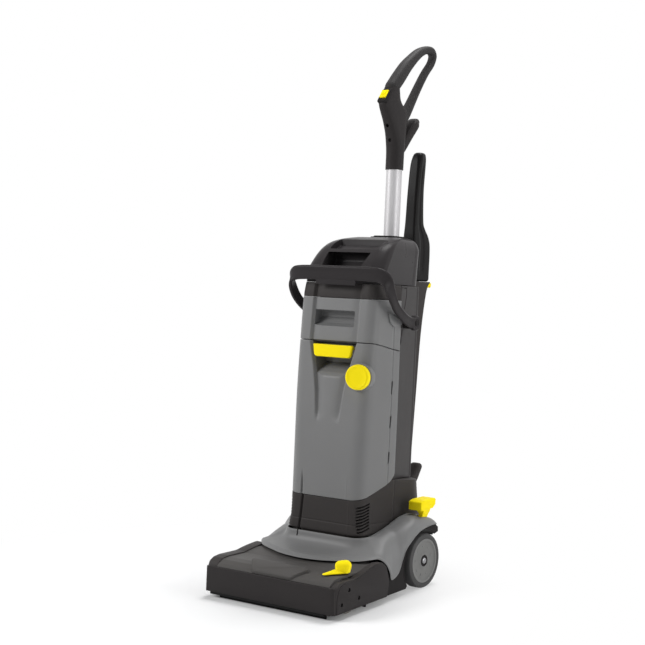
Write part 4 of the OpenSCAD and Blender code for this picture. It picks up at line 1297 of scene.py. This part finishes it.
# %% Deck and lid
DECK = [(-191, 66, 3), (-184, 73, 8), (-172, 79, 14), (-154, 81, 20), (-129, 80, 20), (-98, 79, 20),
        (-78, 82, 20), (-59, 84, 20), (-26, 84, 10), (-8, 80, 8), (2, 70, 4), (4, 58, 2)]
CHAMBER = [(-162, -4), (-82, -4), (-82, 64), (-94, 76), (-150, 76), (-162, 64)]
deck = slab("deck_shell", [(-191, 12), *DECK, (4, 12)], -140, 152, 0.6, side_level, "deck", "head",
            ["head_shell"])
cut_out(deck, slab_cutter(CHAMBER, -148, 158, 1, side_level))
for y0, y1 in ((-188.2, -175.8), (-68.2, -55.8)):
    cut_out(deck, slab_cutter([(y0, -4), (y1, -4), (y1, 52), (y0, 52)], -148, 158, 0.5, side_level, 1.0))
deck_height = line_through([(y, z) for y, z, _ in DECK])
LID = [(-79, -150, 8), (-46, -190, 10), (57, -190, 16), (80, -166, 14), (66, -149, 8)]
lid_rings = slab_rings(LID, -3, 6.2, 1.6, lambda a, b, d: level(a, b, deck_height(b) + d))
make("deck_lid", *stack(lid_rings), "deck", "head")


def front_place(a, b, depth):
    """The front's left edge leans in a little towards its top."""
    return level(a + (0.065 * (depth - 12) if a < 0 else 0), b, depth)


FRONT = [(-167.2, -195, 2), (166.2, -195, 15), (166.2, -172, 1), (151.5, -172, 1), (151.5, -191.4, 1),
         (-167.2, -191.4, 1)]
front_rings = slab_rings(FRONT, 12.4, 66.8, 1.3, front_place, steps=9)
make("front_cover", *stack(front_rings), "panel", "head", ["front_panel"])
slab("front_strip", [(-157, 7), (140, 7), (140, 13), (-157, 13)], -193, -189.6, 0.8, front_level,
     "rubber", "head")
BLADE = [(-1.5, 26), (1.5, 26), (1.5, 4), (0.6, 0), (-1.5, 0)]
for name, y, low, high in (("front", -182, -138.4, 139), ("rear", -62, -138.4, 150)):
    slab(f"{name}_squeegee", [(y + a, b, 0.4) for a, b in BLADE], low, high, 0.4, side_level,
         "rubber", "squeegees", [f"{name}_blade"])
print("deck and squeegees made")

# %% [markdown]
# ## The side plates
# A plate closes each side of the head, with a thinner cover on it and screws through holes in both.
# One side could mirror the other, but the left one is thicker and its front half stands higher, so
# each has its own outlines.

# %% Side plates
PLATE = [(-191, 12, 2.5), (-191, 60, 6), (-185, 69, 6), (-172, 74, 10), (-150, 74, 12), (-123, 73, 16),
         (-91, 79, 20), (-68, 86, 18), (-44, 89, 14), (-24, 87, 14), (-10, 76, 10), (-3, 60, 10),
         (0, 45, 6), (-4, 24, 4), (-9, 12, 2.5)]
COVER = [(-186, 12.6, 2.5), (-184, 44, 12), (-176, 66, 22), (-150, 71.5, 12), (-123, 70.5, 16),
         (-91, 76.5, 20), (-68, 83.5, 18), (-44, 86.5, 14), (-25, 84.5, 12), (-12, 74, 10),
         (-5.5, 59, 10), (-2.6, 45, 6), (-6, 25, 4), (-10.5, 12.6, 2.5)]
PLATE_SCREWS = [(-143.5, 55.4), (-110, 32.9), (-168.7, 30.1)]
CASE = [(-191, 12, 2.5), (-191, 62, 6), (-184, 75, 8), (-172, 81, 12), (-154, 83, 16), (-129, 82, 16),
        (-98, 81, 20), (-78, 84, 20), (-59, 86, 20), (-26, 88, 14), (-11, 74, 10), (-3, 60, 10),
        (0, 45, 6), (-4, 24, 4), (-9, 12, 2.5)]
CASE_COVER = [(-186, 12.6, 2.5), (-184, 44, 12), (-178, 70, 14), (-154, 80.5, 16), (-129, 79.5, 16),
              (-98, 78.5, 20), (-59, 83.5, 20), (-27, 85, 14), (-13, 73, 10), (-5.5, 59, 10),
              (-2.6, 45, 6), (-6, 25, 4), (-10.5, 12.6, 2.5)]
for side, name, inside, body_line, cover_line in ((1, "right", 151.3, PLATE, COVER),
                                                  (-1, "left", 139.3, CASE, CASE_COVER)):
    plate = slab_rings(body_line, *span(side, inside, 165.2), 1.2, side_level)
    cover = slab_rings(cover_line, *span(side, 163.0, 167.4), 1.3, side_level)
    piece = make(f"side_cover_{name}", *stack(cover), "panel", "head", [f"side_plate_{name}"])
    under = make(f"side_body_{name}", *stack(plate), "charcoal", "head")
    for y, z in PLATE_SCREWS:
        hole = turned([(side * 160, 4.3), (side * 170, 4.3)],
                      lambda x, a, b, y=y, z=z: level(x, y + a, z + b), SCREW_SIDES)
        cut_out(piece, cutter(hole))
        cut_out(under, cutter(hole))
    for number, (y, z) in enumerate(PLATE_SCREWS):
        screw_head(f"plate_screw_{name}_{number}",
                   lambda d, a, b, y=y, z=z, side=side: level(side * (164.2 - d), y + a, z + b), 4.1, "head",
                   ["plate_screws"] if side == 1 and number == 0 else ())
print("side plates made")

# %% [markdown]
# ## The lever and the pedal
# Both are yellow, so that they are easy to find. The lever is a bulb with a fin. It could be sculpted,
# but a skin drawn tight round a few flattened balls gives the same soft form. The pedal is three slabs.

# %% Lever and pedal


def hull(points):
    """The tight skin round some points."""
    shell = bmesh.new()
    for p in points:
        shell.verts.new(p)
    made = bmesh.ops.convex_hull(shell, input=shell.verts)
    bmesh.ops.delete(shell, geom=made["geom_interior"], context="VERTS")
    mesh = bpy.data.meshes.new("hull")
    shell.to_mesh(mesh)
    shell.free()
    skin = [tuple(v.co) for v in mesh.vertices], [tuple(f.vertices) for f in mesh.polygons]
    bpy.data.meshes.remove(mesh)
    return skin


def ball(x, y, z, r, squash):
    """Points on a ball whose height is scaled by `squash`."""
    return [Vector((x + r * math.cos(a) * math.cos(b), y + r * math.sin(a) * math.cos(b),
                    z + r * squash * math.sin(b)))
            for a in bearings(24) for b in [math.pi / 2 * j / 8 for j in range(-8, 9)]]


BULB = [(4, 2, 3.4, 12, 0.25), (6, 5, 15.4, 11.6, 1.0), (-4, -1, 15, 10.4, 1.0), (-3, -6, 5, 8, 0.6)]
FIN = [(4, 2, 3.4, 11.5, 0.25), (-7, -14, 4.6, 6.5, 0.75), (-18, -34, 2.2, 5, 0.4)]
LEVER_X, LEVER_Y, LEVER_Z = 138, -128, 81.6
lever_skins = [hull([level(LEVER_X + p.x, LEVER_Y + p.y, LEVER_Z + p.z) for one in balls for p in ball(*one)])
               for balls in (BULB, FIN)]
make("lift_lever_shell", *joined(*lever_skins), "yellow", "lever", ["lift_lever"], 50)

TREAD = [(139, 164, 3), (139, 183, 4), (152, 186, 6), (194, 185, 3), (197, 182, 2), (196, 171, 3),
         (186, 164, 5)]
STEM = [(158, 168), (144, 136), (146, 129), (154, 129), (176, 154), (180, 168)]
GUSSET = [(131, 165.5), (153, 165.5), (149, 155), (137, 155)]
tread = slab_rings(TREAD, 120.2, 153.8, 2.4, side_level)
stem = slab_rings(STEM, 137.2, 148.8, 1.4, side_level, 3.0)
gusset = slab_rings(GUSSET, 152, 178, 1.4, front_level)
make("foot_pedal_shell", *stack(tread, stem, gusset), "yellow", "pedal", ["foot_pedal"])
print("lever and pedal made")

# %% [markdown]
# ## Wheels
# Both wheels are the same turned profiles. Small raised marks stand round the rim's face, so that the
# turning of a wheel can be seen. A texture could show them, but raised ones catch the light.

# %% Wheels
TYRE = [(137, 47), (136.6, 54), (138, 57.2), (141, 58.5), (150, 58.6), (159, 58.5), (162, 57.2), (163.3, 54),
        (163.3, 50.4), (162.7, 49.8), (162.7, 48.8), (163.1, 48.2), (163.0, 47)]
RIM = [(139, 46.9), (139, 43), (158, 42.5), (157, 40), (157, 20), (158, 17), (134, 16), (134, 8.2),
       (157.5, 8.2), (160.4, 10.6), (161.6, 13), (160.6, 15.5), (159.6, 18), (159.2, 22), (159.2, 38),
       (160.4, 41.5), (162.4, 43.2), (162.9, 45), (162.7, 46.9)]
HUB_CAP = [(154, 12.4), (161.4, 12.4), (162.6, 11.5), (162.6, 9.4), (161.4, 8.2), (160.4, 7.2), (154, 7.2)]
HUB_NUT = [(156, 7.2), (161.0, 7.1), (162.6, 6.2), (163.6, 4.6), (164.0, 2.6), (164.0, 1.0)]
RIM_MARKS = 9


def wheel_place(side):
    return lambda x, a, b: level(side * x, AXLE_Y + a, AXLE_Z + b)


for side, name in ((1, "right"), (-1, "left")):
    place, body = wheel_place(side), f"wheel_{name}"
    hoop(f"tyre_tread_{name}", TYRE, place, "tyre", body, [f"tyre_{name}"])
    hoop(f"rim_dish_{name}", RIM, place, "rim", body, [f"rim_{name}"])
    hoop(f"hub_cap_{name}", HUB_CAP, place, "black_plastic", body, [f"hubcap_{name}"], 48)
    make(f"hub_nut_{name}", *stack(turned(HUB_NUT, place, 40)), "steel", body)
    piles = []
    for i in range(RIM_MARKS):
        turn = math.tau * (i + 0.3) / RIM_MARKS
        across, out = Vector((-math.sin(turn), math.cos(turn))), Vector((math.cos(turn), math.sin(turn)))
        wide, tall = (2.6, 1.3) if i % 3 else (1.6, 3.0)
        corners = [out * (31 + v * tall) + across * u * wide for u, v in ((-1, -1), (1, -1), (1, 1), (-1, 1))]
        piles.append([[place(x, c.x, c.y) for c in corners] for x in (158.9, 159.9)])
    make(f"rim_marks_{name}", *stack(*piles), "rim", body)
print("wheels made")

# %% [markdown]
# A black lip edges each wheel arch. A bevel on the arch would have the colour of the hood, so the lip
# is a piece of its own: a round bar along an arc over the wheel.

# %% Arch lips
ARCH_Y, ARCH_Z, ARCH_R = 132.6, 55.6, 71.2


def arch_lip(side):
    rings = []
    for turn in spaced(math.radians(50), math.radians(213), 60):
        ring = []
        for a in bearings(14):
            out = ARCH_R + 2.0 + 2.0 * math.sin(a)
            ring.append(level(side * (159.4 + 2.6 * math.cos(a)), ARCH_Y + out * math.cos(turn),
                              ARCH_Z + out * math.sin(turn)))
        rings.append(ring)
    return rings


make("arch_lips", *stack(arch_lip(1), arch_lip(-1)), "black_plastic", "head")
print("arch radius:", ARCH_R)

# %% [markdown]
# ## The gland
# The mains cable would leave through a soft gland on the column's back. Its ribs could be a bump, but
# they stand out against the light, so they are in the turned profile.

# %% Gland
GLAND = [(243.4, 11.5), (246, 11.5), (246.6, 9.8), (249, 9.6), (249.4, 8.8), (251, 8.8), (251.4, 9.2),
         (253, 9.0), (253.4, 8.2), (255, 8.2), (255.4, 8.4), (258.4, 7.6), (259, 6.6), (259, 4.8), (244, 4.8)]
gland = turned(GLAND, along_y(-29, 360), 40)
make("cable_gland_boot", *stack(gland), "rubber", "upright", ["cable_gland"])
print("gland made")

# %% [markdown]
# ## Floor and light
# The floor is pale and keeps the soft shadow near the machine. Further out it fades to the same white
# as the background, for every ray that looks at it, so no horizon shows. A curved backdrop would hide
# the horizon from one side only, and this machine is looked at from all sides.

# %% Floor
FLOOR_SIZE = 40.0
FADE_NEAR, FADE_FAR = 0.31, 0.72


def studio_floor():
    r = Recipe("studio_floor")
    away = r.add("ShaderNodeVectorMath", {"operation": "DISTANCE"}, {0: r.place(), 1: (-0.18, -0.34, 0)},
                 "Value")
    fade = r.add("ShaderNodeMapRange", {"interpolation_type": "SMOOTHSTEP"},
                 {"Value": away, "From Min": FADE_NEAR, "From Max": FADE_FAR, "To Min": 0.05, "To Max": 1.0})
    body = r.add("ShaderNodeBsdfDiffuse", None, {"Color": rgba((0.84, 0.84, 0.84))})
    glow = r.add("ShaderNodeEmission", None, {"Color": rgba((1, 1, 1)), "Strength": 1.0})
    return r.finish(r.add("ShaderNodeMixShader", None, {0: fade * r.seen(), 1: body, 2: glow}))


half = FLOOR_SIZE / 2
sheet = bpy.data.meshes.new("studio_floor")
sheet.from_pydata([(-half, -half, 0), (half, -half, 0), (half, half, 0), (-half, half, 0)], [],
                  [(0, 1, 2, 3)])
sheet.materials.append(studio_floor())
ground = put("studio_floor", sheet)
print("floor laid,", FLOOR_SIZE, "m across")

# %% [markdown]
# A large soft lamp stands to the left of the camera, a weaker one lifts the right side, a tall strip
# behind on the right draws the bright line down the far corner, and one above lights the top. Smaller
# lamps would draw sharper shadows than a plain studio has.

# %% Lamps


def lamp(name, where, aim, size, watts):
    data = bpy.data.lights.new(name, "AREA")
    data.shape = "RECTANGLE"
    data.size, data.size_y = size
    data.energy = watts
    thing = put(name, data)
    thing.location = where
    thing.rotation_euler = (Vector(aim) - Vector(where)).to_track_quat("-Z", "Y").to_euler()


lamp("key", (-2.5, -2.5, 2.4), (0, 0, 0.5), (1.8, 1.8), 116)
lamp("fill", (2.9, 0.1, 1.1), (0, 0, 0.5), (1.0, 1.6), 31)
lamp("strip", (1.9, 1.5, 1.5), (0, 0, 0.6), (0.5, 2.2), 9)
lamp("top", (0.0, 0.9, 3.1), (0, 0, 0.6), (1.2, 1.2), 72)

# %% [markdown]
# The sky gives little light of its own, but every ray that looks at it sees white. A plain white sky
# would wash out the shadow on the floor.

# %% Sky
world = bpy.data.worlds.new("studio")
bpy.context.scene.world = world
sky = Recipe("studio", world)
dim = sky.add("ShaderNodeBackground", None, {"Color": rgba((0.95, 0.97, 1.0)), "Strength": 0.20})
white = sky.add("ShaderNodeBackground", None, {"Color": rgba((1, 1, 1)), "Strength": 1.0})
sky.finish(sky.add("ShaderNodeMixShader", None, {0: sky.seen(), 1: dim, 2: white}), "ShaderNodeOutputWorld")
print("sky:", world.name)
